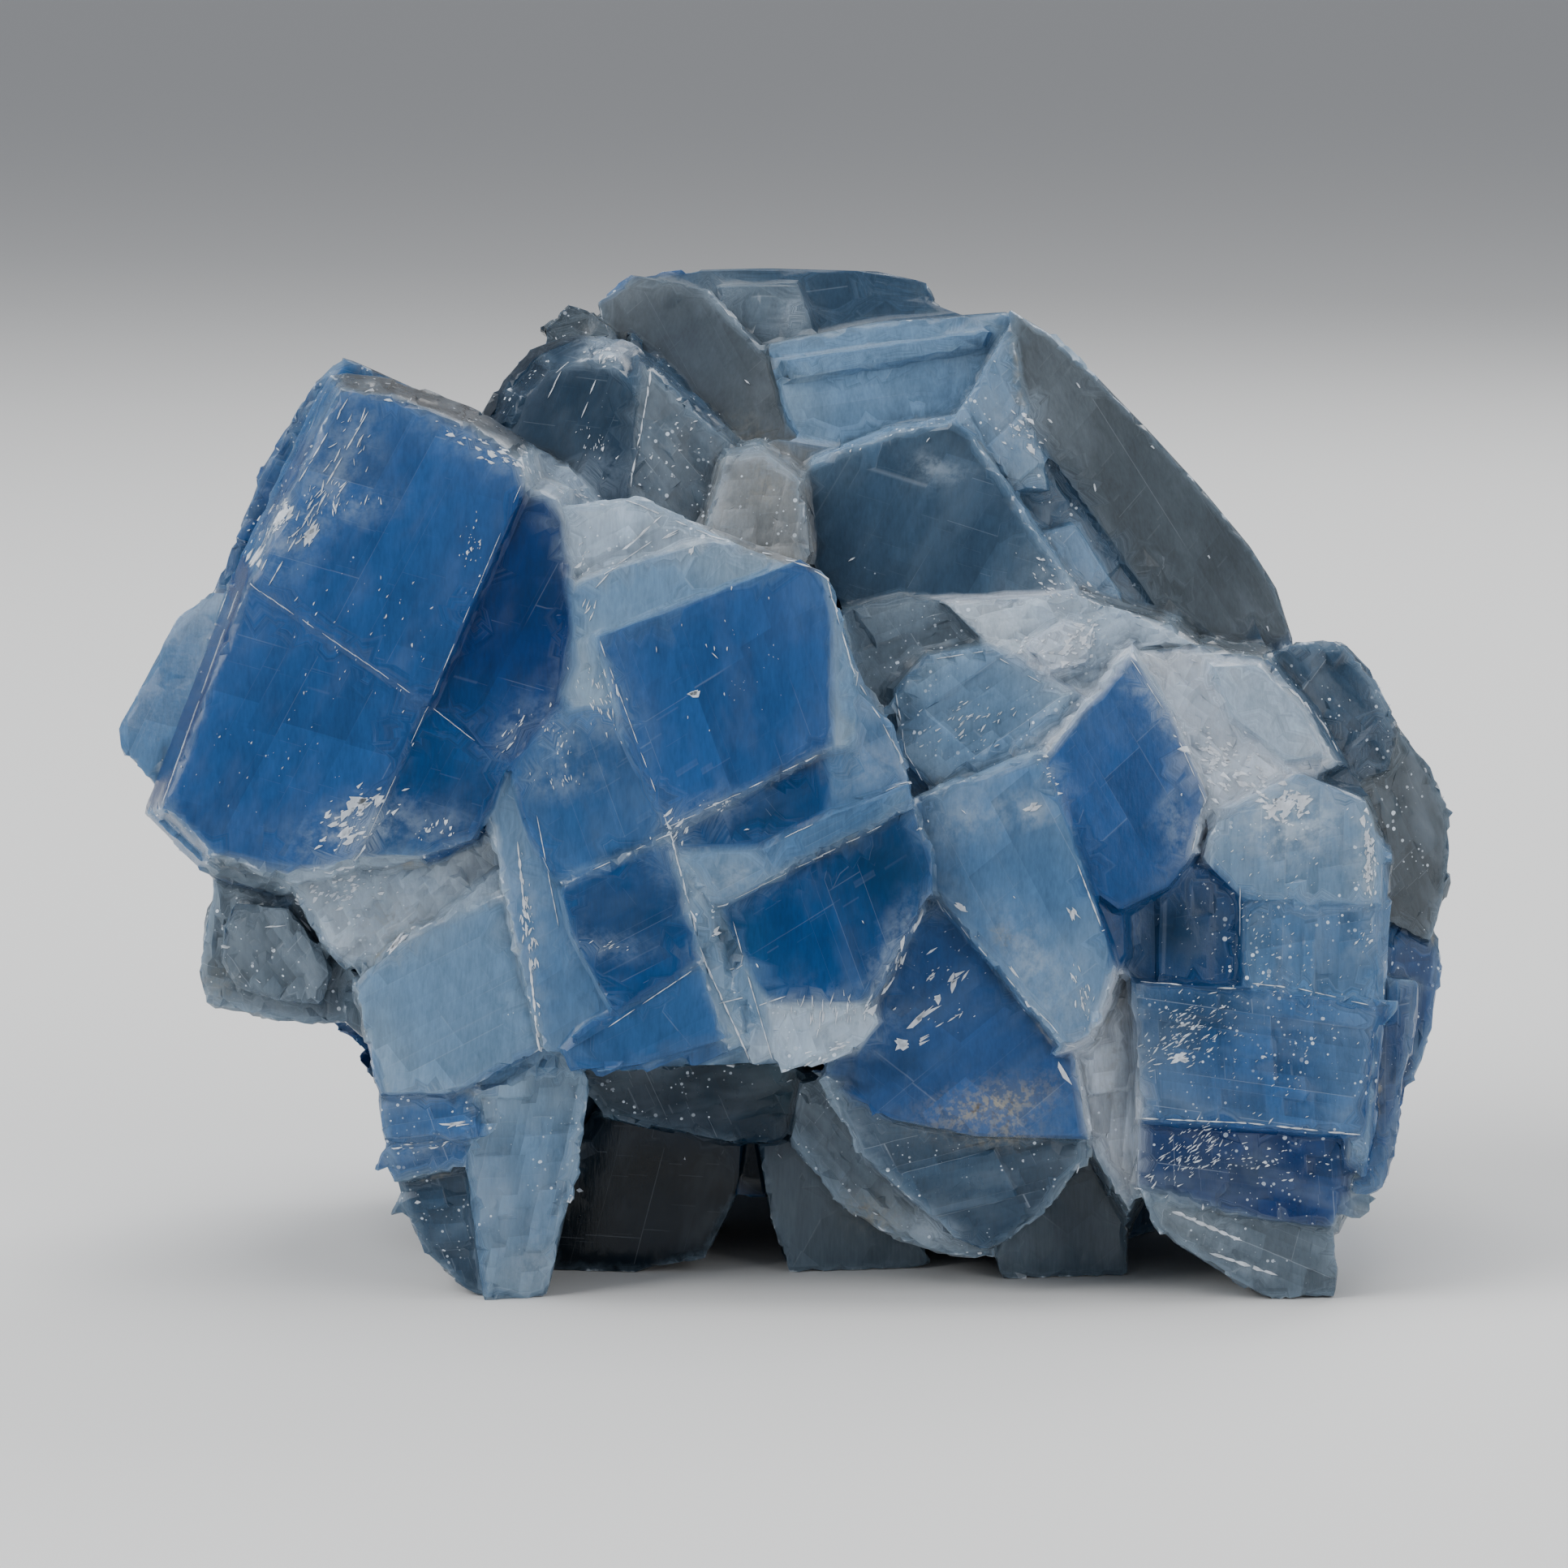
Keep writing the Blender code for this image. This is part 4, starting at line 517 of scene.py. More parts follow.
# How strongly each finish shows each effect; crushed and glow, the painted glow, are widths in millimetres
LOOKS = {
    "glassy_calcite": dict(fibre=0.6, block=0.26, flaw=0.08, line=0.08, veil=0.07, crushed=0.17, glow=0.7,
                           glow_share=0.2, speck=0.3, roughness=0.18, grit=0.3, coat=0.07),
    "stepped_calcite": dict(fibre=0.6, block=0.34, flaw=0.3, line=0.2, veil=0.2, crushed=0.2, glow=0.9,
                            glow_share=0.3, speck=1.0, roughness=0.28, grit=0.8, coat=0.06),
    "rough_calcite": dict(fibre=0.5, block=0.3, flaw=0.34, line=0.2, veil=0.32, crushed=0.24, glow=1.1,
                          glow_share=0.4, speck=0.9, roughness=0.42, grit=1.4, coat=0.03),
    "dull_calcite": dict(fibre=0.7, block=0.2, flaw=0.1, line=0.08, veil=0.12, crushed=0.17, glow=0.7,
                         glow_share=0.2, speck=0.3, roughness=0.55, grit=0.3, coat=0.0),
}

# The studio, in metres and watts: each light is (its name, its place, its size, its power)
LIGHTS = (
    ("left", (-0.7, -0.25, 0.6), 0.7, 9.0),
    ("right", (0.75, -0.5, 0.3), 0.9, 5.5),
    ("top", (0.0, 0.1, 0.9), 0.6, 4.0),
    ("back", (0.3, 0.5, 0.5), 0.4, 2.5),
)
LIT_PLACE = Vector((0.0, 0.0, 0.03))
FLOOR_SIZE = 80.0
FLOOR_GREY = (0.74, 0.74, 0.73, 1.0)
ROOM_WHITE = (0.9, 0.93, 1.0, 1.0)
ROOM_LIGHT = 0.36


class Wiring:
    """Adds nodes to a tree, and joins or writes what it is handed to their sockets."""

    def __init__(self, tree):
        self.tree = tree

    def add(self, kind, inputs=None, out=0, **settings):
        node = self.tree.nodes.new(kind)
        node.location.x = NODE_GAP * len(self.tree.nodes)
        for name, value in settings.items():
            setattr(node, name, value)
        for key, value in (inputs or {}).items():
            if isinstance(value, bpy.types.NodeSocket):
                self.tree.links.new(value, node.inputs[key])
            else:
                node.inputs[key].default_value = value
        return node.outputs[out] if node.outputs else node

    def math(self, operation, *values, clamp=False):
        return self.add("ShaderNodeMath", dict(enumerate(values)), operation=operation, use_clamp=clamp)

    def times(self, first, second):
        return self.math("MULTIPLY", first, second)

    def plus(self, first, second, clamp=False):
        return self.math("ADD", first, second, clamp=clamp)

    def minus(self, first, second):
        return self.math("SUBTRACT", first, second)

    def times_plus(self, value, factor, added, clamp=False):
        return self.math("MULTIPLY_ADD", value, factor, added, clamp=clamp)

    def vector(self, operation, *values, out=0):
        return self.add("ShaderNodeVectorMath", dict(enumerate(values)), out, operation=operation)

    def scaled(self, vector, factor):
        return self.add("ShaderNodeVectorMath", {0: vector, 3: factor}, operation="SCALE")

    def dot(self, first, second):
        return self.vector("DOT_PRODUCT", first, second, out=1)

    def step(self, value, low, high, to_low=0.0, to_high=1.0):
        """Rises softly from to_low to to_high as value goes from low to high."""
        return self.add("ShaderNodeMapRange", {0: value, 1: low, 2: high, 3: to_low, 4: to_high},
                        interpolation_type="SMOOTHSTEP")

    def mix(self, factor, first, second):
        return self.add("ShaderNodeMix", {0: factor, 6: first, 7: second}, 2, data_type="RGBA")

    def noise(self, place, scale, detail=2.0, rough=0.5):
        return self.add("ShaderNodeTexNoise", {"Vector": place, "Scale": scale, "Detail": detail,
                                               "Roughness": rough})

    def attribute(self, name, kind="FLOAT_VECTOR"):
        """What a geometry carries under this name."""
        return self.add("GeometryNodeInputNamedAttribute", {"Name": name}, data_type=kind)

    def mesh_of(self, made):
        return self.add("GeometryNodeObjectInfo", {"Object": made}, out=4)

    def distance(self, lines, place):
        """How far a place is from the lines of an object."""
        return self.add("GeometryNodeProximity", {0: self.mesh_of(lines), "Sample Position": place}, out=1,
                        target_element="EDGES")

    def stored(self, geometry, name, value, kind="FLOAT_VECTOR", domain="FACE"):
        """The geometry with a value written on it under this name."""
        inputs = {"Geometry": geometry, "Name": name, "Value": value}
        return self.add("GeometryNodeStoreNamedAttribute", inputs, data_type=kind, domain=domain)


def sight_line(across, down):
    """The direction from the eye through a point of the sheet."""
    return (INTO * VIEW_DISTANCE + RIGHT * (across - SHEET / 2) + UP * (SHEET / 2 - down)).normalized()


def sheet_direction(angle):
    """The direction in the sheet that rises at this angle from level."""
    return RIGHT * math.cos(math.radians(angle)) + UP * math.sin(math.radians(angle))


def drawn_at(points):
    """Where points show on the sheet, and how far behind it they lie."""
    from_eye = points - np.array(EYE)
    depth = from_eye @ np.array(INTO)
    across = from_eye @ np.array(RIGHT) * VIEW_DISTANCE / depth + SHEET / 2
    down = SHEET / 2 - from_eye @ np.array(UP) * VIEW_DISTANCE / depth
    return across, down, depth - VIEW_DISTANCE


def behind_sheet(across, down, depth):
    """The point that shows at a place of the sheet and lies this far behind it."""
    spread = 1.0 + depth / VIEW_DISTANCE
    return (EYE + INTO * (VIEW_DISTANCE + depth) + RIGHT * (across - SHEET / 2) * spread
            + UP * (SHEET / 2 - down) * spread)


def add_seam_fill(solid):
    """Fills the clefts that the solid leaves where the photographed stone is closed."""
    for outline, depth in SEAM_FILLS:
        front = [solid.verts.new(behind_sheet(across, down, depth)) for across, down in outline]
        back = [solid.verts.new(behind_sheet(across, down, max(FILL_BACK, depth + FILL_LENGTH)))
                for across, down in outline]
        walls = [solid.faces.new(front), solid.faces.new(back[::-1])]
        for here in range(len(outline)):
            after = (here + 1) % len(outline)
            walls.append(solid.faces.new((front[after], front[here], back[here], back[after])))
        bmesh.ops.recalc_face_normals(solid, faces=walls)
        bmesh.ops.triangulate(solid, faces=walls)
    solid.faces.ensure_lookup_table()


def solid_in_millimetres():
    """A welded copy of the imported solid."""
    solid = bmesh.new()
    solid.from_mesh(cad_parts["blue_calcite"].data)
    bmesh.ops.scale(solid, verts=solid.verts, vec=(1 / MM, 1 / MM, 1 / MM))
    bmesh.ops.remove_doubles(solid, verts=solid.verts, dist=WELD)
    add_seam_fill(solid)
    return solid


def flat_faces(solid):
    """Sorts the triangles into the flat faces they make up, and returns each triangle's flat face."""
    owner = [-1] * len(solid.faces)
    count = 0
    for first in solid.faces:
        if owner[first.index] >= 0:
            continue
        owner[first.index] = count
        waiting = [first]
        while waiting:
            here = waiting.pop()
            for edge in here.edges:
                for there in edge.link_faces:
                    if owner[there.index] < 0 and there.normal.angle(first.normal, math.pi) < SAME_FACE:
                        owner[there.index] = count
                        waiting.append(there)
        count += 1
    return owner


def rim_edges(triangles):
    """The edges round a flat face."""
    inside = set(triangles)
    return [edge for face in triangles for edge in face.edges
            if sum(other in inside for other in edge.link_faces) == 1]


def members_of(solid, owner):
    """The triangles of each flat face."""
    members = [[] for _ in range(max(owner) + 1)]
    for face in solid.faces:
        members[owner[face.index]].append(face)
    return members


def strip_width(triangles):
    """About how wide a flat face is where it is a narrow strip."""
    rim = sum(edge.calc_length() for edge in rim_edges(triangles))
    return 2.0 * sum(face.calc_area() for face in triangles) / max(rim, 0.001)


def longest_edge(triangles):
    """The direction of the longest side of a flat face."""
    side = max(rim_edges(triangles) or triangles[0].edges, key=lambda edge: edge.calc_length())
    return (side.verts[0].co - side.verts[1].co).normalized()


def hidden_tone(middle, out):
    """A face that the drawing doesn't show takes a tone that changes slowly over the cluster."""
    value = 0.5 + 0.55 * noise.noise(middle * 0.11) + 0.3 * noise.noise(out * 1.7 + middle * 0.05)
    place = min(max(value, 0.0), 0.999) * len(HIDDEN_TONES)
    return HIDDEN_TONES[int(place)]


def read_faces(solid):
    """Gives each flat face its tone, finish and grain: the drawn ones from FACES, their sides from the
    nearest drawn one, and the rest by chance."""
    owner = flat_faces(solid)
    tree = BVHTree.FromBMesh(solid)
    drawn = {}
    hearts = []
    for face in FACES.values():
        place, out, index, _ = tree.ray_cast(EYE, sight_line(*face.heart))
        drawn.setdefault(owner[index], (face, place))
        hearts.append((place, out, face))
    read = []
    for number, triangles in enumerate(members_of(solid, owner)):
        area = sum(face.calc_area() for face in triangles)
        middle = sum((face.calc_center_median() * face.calc_area() for face in triangles), Vector()) / area
        out = sum((face.normal * face.calc_area() for face in triangles), Vector()).normalized()
        grain = longest_edge(triangles)
        if number in drawn:
            face, heart = drawn[number]
            tone, finish, reach = TONES[face.tone], face.finish, face.reach
            if face.grain is not None:
                grain = sheet_direction(face.grain)
        else:
            near, _, face = min(hearts, key=lambda item: (item[0] - middle).length - 2.0 * item[1].dot(out))
            heart, reach = middle, max(1.5, 0.6 * math.sqrt(area))
            if (near - middle).length < TONE_SPREAD + face.reach:
                tone, finish = TONES[face.tone], max(face.finish, STEPPED * (area < SMALL_AREA))
                if strip_width(triangles) < LOW_STEP:
                    finish = GLASSY
            else:
                tone = TONES[hidden_tone(middle, out)]
                finish = STEPPED if noise.noise(middle * 0.2 + out) < 0.15 else ROUGH
        grain = (grain - out * grain.dot(out)).normalized()
        read.append((tone, finish, reach, heart, grain, out))
    return owner, read


def face_mesh(solid, owner, read):
    """The solid as an object that carries each flat face's tone, finish and grain."""
    mesh = bpy.data.meshes.new("cleavage_faces")
    solid.to_mesh(mesh)
    columns = {
        "heart_tone": [tone.heart for tone, *_ in read],
        "rim_tone": [tone.rim for tone, *_ in read],
        "heart": [heart for *_, heart, _, _ in read],
        "grain": [grain for *_, grain, _ in read],
        "face_out": [out for *_, out in read],
    }
    for name, values in columns.items():
        layer = mesh.attributes.new(name, "FLOAT_VECTOR", "FACE")
        layer.data.foreach_set("vector", np.array([values[number] for number in owner], np.float32).ravel())
    for name, column in (("finish", 1), ("reach", 2)):
        layer = mesh.attributes.new(name, "FLOAT", "FACE")
        layer.data.foreach_set("value", np.array([read[number][column] for number in owner], np.float32))
    return helper(mesh)


def low_steps(solid, owner):
    """The flat faces that are only the risers of low steps, between blocks of one crystal."""
    return {number for number, triangles in enumerate(members_of(solid, owner))
            if strip_width(triangles) < LOW_STEP}


def edge_mesh(solid, owner, low, name, convex):
    """The sharp edges of the solid as bare lines, but for those of low steps: the edges that stand out, or
    those that lie in a corner."""
    lines = bmesh.new()
    for edge in solid.edges:
        if len(edge.link_faces) == 2 and not any(owner[face.index] in low for face in edge.link_faces):
            angle = edge.calc_face_angle_signed(0.0)
            if (angle > SHARP_EDGE) if convex else (angle < -SHARP_EDGE):
                lines.edges.new([lines.verts.new(vert.co) for vert in edge.verts])
    mesh = bpy.data.meshes.new(name)
    lines.to_mesh(mesh)
    return helper(mesh)


def helper(mesh):
    """An object that only lends its mesh to others, and is removed at the end."""
    made = bpy.data.objects.new(mesh.name, mesh)
    bpy.context.scene.collection.objects.link(made)
    made.hide_render = True
    return made


def add_inputs(tree, inputs):
    """Gives a tree these inputs, {name: default}."""
    for label, default in inputs.items():
        socket = tree.interface.new_socket(label, in_out="INPUT", socket_type=SOCKETS[type(default)])
        socket.default_value = default


def new_tree(name, inputs):
    """A geometry tree with one geometry in and out and these inputs, {name: default}."""
    tree = bpy.data.node_groups.new(name, "GeometryNodeTree")
    for way in ("INPUT", "OUTPUT"):
        tree.interface.new_socket("Geometry", in_out=way, socket_type="NodeSocketGeometry")
    add_inputs(tree, inputs)
    return Wiring(tree), tree.nodes.new("NodeGroupInput").outputs


def add_tree(made, wiring, **values):
    """Puts a tree on an object, with its named inputs set by their sockets' identifiers."""
    modifier = made.modifiers.new(wiring.tree.name, "NODES")
    modifier.node_group = wiring.tree
    for item in wiring.tree.interface.items_tree:
        key = item.name.replace(" ", "_").lower()
        if item.in_out == "INPUT" and key in values:
            modifier[item.identifier] = values[key]


def end_tree(wiring, geometry, material):
    """Realizes what the tree made, gives it its material and hands it out."""
    real = wiring.add("GeometryNodeRealizeInstances", {0: geometry})
    done = wiring.add("GeometryNodeSetMaterial", {"Geometry": real, "Material": material})
    wiring.add("NodeGroupOutput", {0: done})


def baked(made, name):
    """The object's evaluated mesh as a plain mesh; the object and its modifiers are removed."""
    bpy.context.view_layer.update()
    evaluated = made.evaluated_get(bpy.context.evaluated_depsgraph_get())
    mesh = bpy.data.meshes.new_from_object(evaluated)
    mesh.name = name
    bpy.data.objects.remove(made)
    return mesh


def plate_blank():
    """A thin rhomb, a millimetre each way, with calcite's corner angle: the shape of a cleavage plate."""
    plate = bmesh.new()
    bmesh.ops.create_cube(plate, size=1.0)
    lean = Matrix(((1.0, math.cos(CORNER_ANGLE), 0.15), (0.0, 1.0, 0.1), (0.0, 0.0, 1.0)))
    bmesh.ops.transform(plate, verts=plate.verts, matrix=lean.to_4x4())
    mesh = bpy.data.meshes.new("cleavage_plate")
    plate.to_mesh(mesh)
    return helper(mesh)


def random_size(wiring, source):
    """A size between the smallest and the largest."""
    return wiring.add("FunctionNodeRandomValue",
                      {0: source["Smallest"], 1: source["Largest"], "Seed": source["Seed"]},
                      data_type="FLOAT_VECTOR")


def joined(wiring, first, second):
    """Two geometries as one."""
    both = wiring.add("GeometryNodeJoinGeometry", {0: first})
    wiring.tree.links.new(second, both.node.inputs[0])
    return both


def plates_tree(plate, ridges, material):
    """Scatters cleavage plates over the faces, along their grain: few on glassy faces, many on stepped."""
    wiring, source = new_tree("cleavage_plates", {
        "Density": 0.05,
        "Smallest": (0.8, 0.5, 0.2),
        "Largest": (3.4, 1.8, 0.45),
        "Seed": SEED,
    })
    place = wiring.add("GeometryNodeInputPosition")
    crowding = wiring.step(wiring.noise(place, 0.16), 0.42, 0.7)
    amount = wiring.step(wiring.attribute("finish", "FLOAT"), 0.0, 1.0, 0.12, 1.0)
    amount = wiring.times(amount, wiring.step(wiring.distance(ridges, place), 0.5, 1.8))
    density = wiring.times(source["Density"], wiring.times(amount, crowding))
    points = wiring.add("GeometryNodeDistributePointsOnFaces",
                        {"Mesh": source["Geometry"], "Density": density, "Seed": source["Seed"]})
    normal = points.node.outputs["Normal"]
    across = wiring.add("FunctionNodeAlignRotationToVector", {"Vector": normal}, axis="Z")
    turned = wiring.add("FunctionNodeAlignRotationToVector",
                        {"Rotation": across, "Vector": wiring.attribute("grain")}, axis="X", pivot_axis="Z")
    plates = wiring.add("GeometryNodeInstanceOnPoints",
                        {"Points": points, "Instance": wiring.mesh_of(plate), "Rotation": turned,
                         "Scale": random_size(wiring, source)})
    end_tree(wiring, joined(wiring, source["Geometry"], plates), material)
    return wiring


def nearest(wiring, faces, name, place, kind="FLOAT_VECTOR"):
    """What the nearest flat face carries under this name."""
    return wiring.add("GeometryNodeSampleNearestSurface",
                      {"Mesh": faces, "Value": wiring.attribute(name, kind), "Sample Position": place},
                      data_type=kind)


def lattice_place(wiring, place, grain, out):
    """A place in the directions of the grain, its second cleavage and the face's normal."""
    aside = wiring.dot(place, wiring.vector("CROSS_PRODUCT", out, grain))
    along = wiring.times_plus(aside, BLOCK_LEAN, wiring.dot(place, grain))
    return wiring.add("ShaderNodeCombineXYZ", {0: along, 1: aside, 2: wiring.dot(place, out)})


def cleavage_blocks(wiring, lattice, spacing):
    """Uneven blocks in rows along the grain: how far a place is through its row and through its block, and
    the block's own chance number. The faces' steps and their inner tones use the same blocks."""
    parts = wiring.add("ShaderNodeSeparateXYZ", {0: lattice}).node.outputs

    def uneven(value):
        wander = wiring.add("ShaderNodeTexNoise", {"W": value, "Scale": 1.0, "Detail": 1.0},
                            noise_dimensions="1D")
        return wiring.times_plus(wander, BLOCK_WANDER, value)

    def chance(first, second):
        pair = wiring.add("ShaderNodeCombineXYZ", {0: first, 1: second})
        return wiring.add("ShaderNodeTexWhiteNoise", {"Vector": pair}, noise_dimensions="2D")

    row_place = uneven(wiring.math("DIVIDE", parts[1], spacing))
    row = wiring.math("FLOOR", row_place)
    along = wiring.math("DIVIDE", wiring.math("DIVIDE", parts[0], spacing), BLOCK_LENGTH)
    block_place = uneven(wiring.times_plus(chance(row, 3.0), 9.0, along))
    number = chance(row, wiring.math("FLOOR", block_place))
    return wiring.math("FRACT", row_place), wiring.math("FRACT", block_place), number


def weathering_tree(faces, ridges, material):
    """Breaks the faces into low steps and hackles along the grain, and chips the edges."""
    wiring, source = new_tree("weathering", {
        "Chip Depth": 0.26,
        "Chip Width": 0.7,
        "Step Height": 0.3,
        "Hackle Height": 0.16,
    })
    place = wiring.add("GeometryNodeInputPosition")
    normal = wiring.add("GeometryNodeInputNormal")
    reference = wiring.mesh_of(faces)
    finish = nearest(wiring, reference, "finish", place, "FLOAT")
    grain = nearest(wiring, reference, "grain", place)
    out = nearest(wiring, reference, "face_out", place)
    lattice = lattice_place(wiring, place, grain, out)

    def heights(spacing):
        return wiring.minus(cleavage_blocks(wiring, lattice, spacing)[2], 0.5)

    blocks = wiring.plus(heights(BLOCK), wiring.times(heights(FLAW), 0.5))
    steps = wiring.times(blocks, wiring.times(source["Step Height"], wiring.step(finish, 0.0, 1.0)))
    rough = wiring.step(finish, 0.6, 2.0)
    hackle = wiring.times(heights(HACKLE), wiring.times(rough, source["Hackle Height"]))
    lumps = wiring.times(wiring.minus(wiring.noise(place, 0.55, 3.0), 0.5),
                         wiring.step(finish, 0.6, 2.0, 0.0, 1.1))
    raised = wiring.scaled(out, wiring.plus(wiring.plus(steps, hackle), lumps))

    near = wiring.step(wiring.distance(ridges, place), 0.0, source["Chip Width"], 1.0, 0.0)
    bite = wiring.step(wiring.noise(place, 0.8, 3.0), 0.42, 0.72)
    crumbs = wiring.times(wiring.noise(place, 3.2, 1.0), 0.35)
    chips = wiring.times(wiring.plus(bite, crumbs), wiring.times(near, source["Chip Depth"]))
    moved = wiring.vector("SUBTRACT", raised, wiring.scaled(normal, chips))
    shaped = wiring.add("GeometryNodeSetPosition", {"Geometry": source["Geometry"], "Offset": moved})
    on_table = wiring.vector("MAXIMUM", wiring.add("GeometryNodeInputPosition"), ABOVE_TABLE)
    shaped = wiring.add("GeometryNodeSetPosition", {"Geometry": shaped, "Position": on_table})
    end_tree(wiring, shaped, material)
    return wiring


def tones_tree(faces, ridges, hollows, materials):
    """Writes on the finished surface what its materials read, and gives each finish its material."""
    wiring, source = new_tree("tones", {"Far": FAR})
    place = wiring.add("GeometryNodeInputPosition")
    reference = wiring.mesh_of(faces)
    geometry = source["Geometry"]
    for name in ("heart_tone", "rim_tone", "heart", "grain", "face_out"):
        geometry = wiring.stored(geometry, name, nearest(wiring, reference, name, place))
    for name in ("finish", "reach"):
        geometry = wiring.stored(geometry, name, nearest(wiring, reference, name, place, "FLOAT"), "FLOAT")
    for name, lines in (("edge_distance", ridges), ("hollow_distance", hollows)):
        distance = wiring.math("MINIMUM", wiring.distance(lines, place), source["Far"])
        geometry = wiring.stored(geometry, name, distance, "FLOAT", "POINT")
    finish = wiring.attribute("finish", "FLOAT")
    for limit, side, material in ((STEPPED - 0.5, "GREATER_THAN", materials[1]),
                                  (ROUGH - 0.5, "GREATER_THAN", materials[2]),
                                  (DULL + 0.5, "LESS_THAN", materials[3])):
        chosen = wiring.add("FunctionNodeCompare", {0: finish, 1: limit}, data_type="FLOAT", operation=side)
        geometry = wiring.add("GeometryNodeSetMaterial",
                              {"Geometry": geometry, "Selection": chosen, "Material": material})
    wiring.add("NodeGroupOutput", {0: wiring.add("GeometryNodeRealizeInstances", {0: geometry})})
    return wiring


def thinned(mesh, triangles):
    """The mesh with fewer triangles, short ones at edges and steps; one corner in each small cell always
    stays, so the flat faces keep even triangles."""
    made = helper(mesh)
    corners = np.empty(3 * len(mesh.vertices), np.float32)
    mesh.vertices.foreach_get("co", corners)
    cells = np.floor(corners.reshape(-1, 3) / KEPT_EVERY).astype(np.int64)
    numbers = cells @ np.array([1, CELLS_ACROSS, CELLS_ACROSS**2])
    kept = np.unique(numbers, return_index=True)[1]
    group = made.vertex_groups.new(name="evenness")
    group.add(range(len(mesh.vertices)), 0.5, "REPLACE")
    group.add(kept.tolist(), 0.0, "REPLACE")
    modifier = made.modifiers.new("thin", "DECIMATE")
    modifier.ratio = min(1.0, triangles / sum(len(face.vertices) - 2 for face in mesh.polygons))
    modifier.vertex_group = group.name
    modifier.vertex_group_factor = EVENNESS
    return baked(made, "thin_stone")


def fine_stone(materials):
    """The whole cluster as one fine mesh in millimetres."""
    solid = solid_in_millimetres()
    owner, read = read_faces(solid)
    faces = face_mesh(solid, owner, read)
    low = low_steps(solid, owner)
    ridges = edge_mesh(solid, owner, low, "ridge_lines", convex=True)
    hollows = edge_mesh(solid, owner, low, "hollow_lines", convex=False)
    plate = plate_blank()
    stone = helper(faces.data.copy())
    add_tree(stone, plates_tree(plate, ridges, materials[0]), density=0.25)
    remesh = stone.modifiers.new("fine", "REMESH")
    remesh.mode = "VOXEL"
    remesh.voxel_size = VOXEL
    add_tree(stone, weathering_tree(faces, ridges, materials[0]))
    mesh = thinned(baked(stone, "worked_stone"), BODY_TRIANGLES)
    stone = helper(mesh)
    mesh.materials.clear()
    for material in materials:
        mesh.materials.append(material)
    add_tree(stone, tones_tree(faces, ridges, hollows, materials))
    mesh = baked(stone, "blue_calcite_stone")
    for lent in (faces, ridges, hollows, plate):
        bpy.data.objects.remove(lent)
    return mesh


def flake_blanks():
    """Low shards with uneven corners, a millimetre across and thick; the first is a sliver for lines."""
    shards = []
    for number, radii in enumerate(FLAKE_CORNERS):
        shard = bmesh.new()
        turns = [math.tau * corner / len(radii) for corner in range(len(radii))]
        corners = [(radius * math.cos(turn), radius * math.sin(turn)) for radius, turn in zip(radii, turns)]
        low = [shard.verts.new((across, aside, -0.5)) for across, aside in corners]
        high = [shard.verts.new((FLAKE_TAPER * across, FLAKE_TAPER * aside, 0.5))
                for across, aside in corners]
        shard.faces.new(high)
        shard.faces.new(low[::-1])
        for here in range(len(radii)):
            after = (here + 1) % len(radii)
            shard.faces.new((low[here], low[after], high[after], high[here]))
        mesh = bpy.data.meshes.new(f"flake_{number}")
        shard.to_mesh(mesh)
        shards.append(helper(mesh))
    return shards


def placed_flakes(tree):
    """Where the drawn flakes lie on the stone, how they are turned and how large they are."""
    chance = np.random.default_rng(SEED)
    places, turns, sizes, shapes = [], [], [], []

    def lay(across, down, length, width, lean, shape):
        place, out, _, _ = tree.ray_cast(EYE, sight_line(across, down))
        if place is None:
            return
        along = sheet_direction(lean)
        along = (along - out * along.dot(out)).normalized()
        places.append(place - out * (FLAKE_THICKNESS / 2 - FLAKE_RISE))
        turns.append(Matrix((along, out.cross(along), out)).transposed().to_euler())
        sizes.append((length, width, FLAKE_THICKNESS))
        shapes.append(shape)

    for points, width, missing in WHITE_LINES:
        for start, end in zip(points, points[1:]):
            run = math.dist(start, end)
            lean = math.degrees(math.atan2(start[1] - end[1], end[0] - start[0]))
            pieces = max(1, round(run / LINE_PIECE))
            for piece in range(pieces):
                share = (piece + 0.5) / pieces
                across, down = (a + (b - a) * share for a, b in zip(start, end))
                shown, longer, wider = chance.random(3)
                length = run / pieces * (1.1 + 0.5 * longer)
                if shown >= missing:
                    lay(across, down, length, width * (0.7 + 0.7 * wider), lean, 0)
    for bruise in BRUISES:
        lean = math.radians(bruise.lean)
        few = bruise.count < FEW
        for _ in range(bruise.count if few else round(FLAKE_CROWD * bruise.count)):
            along, aside = chance.normal(0.0, 0.5, 2) * bruise.spread
            across = bruise.middle[0] + along * math.cos(lean) + aside * math.sin(lean)
            down = bruise.middle[1] - along * math.sin(lean) + aside * math.cos(lean)
            if few:
                large = chance.uniform(0.75, 1.15)
            else:
                large = SMALLEST_SHARE + 0.95 * chance.random()**LARGE_RARITY
            length = bruise.flake[0] * large
            width = bruise.flake[1] * large * chance.uniform(0.7, 1.4)
            turned = bruise.flake_lean + chance.normal(0.0, LEAN_WANDER)
            lay(across, down, length, width, turned, int(chance.integers(1, len(FLAKE_CORNERS))))
    mesh = bpy.data.meshes.new("flake_places")
    mesh.from_pydata([tuple(place) for place in places], [], [])
    for name, values in (("turn", turns), ("size", sizes)):
        layer = mesh.attributes.new(name, "FLOAT_VECTOR", "POINT")
        layer.data.foreach_set("vector", np.array(values, np.float32).ravel())
    mesh.attributes.new("shape", "INT", "POINT").data.foreach_set("value", shapes)
    return helper(mesh)


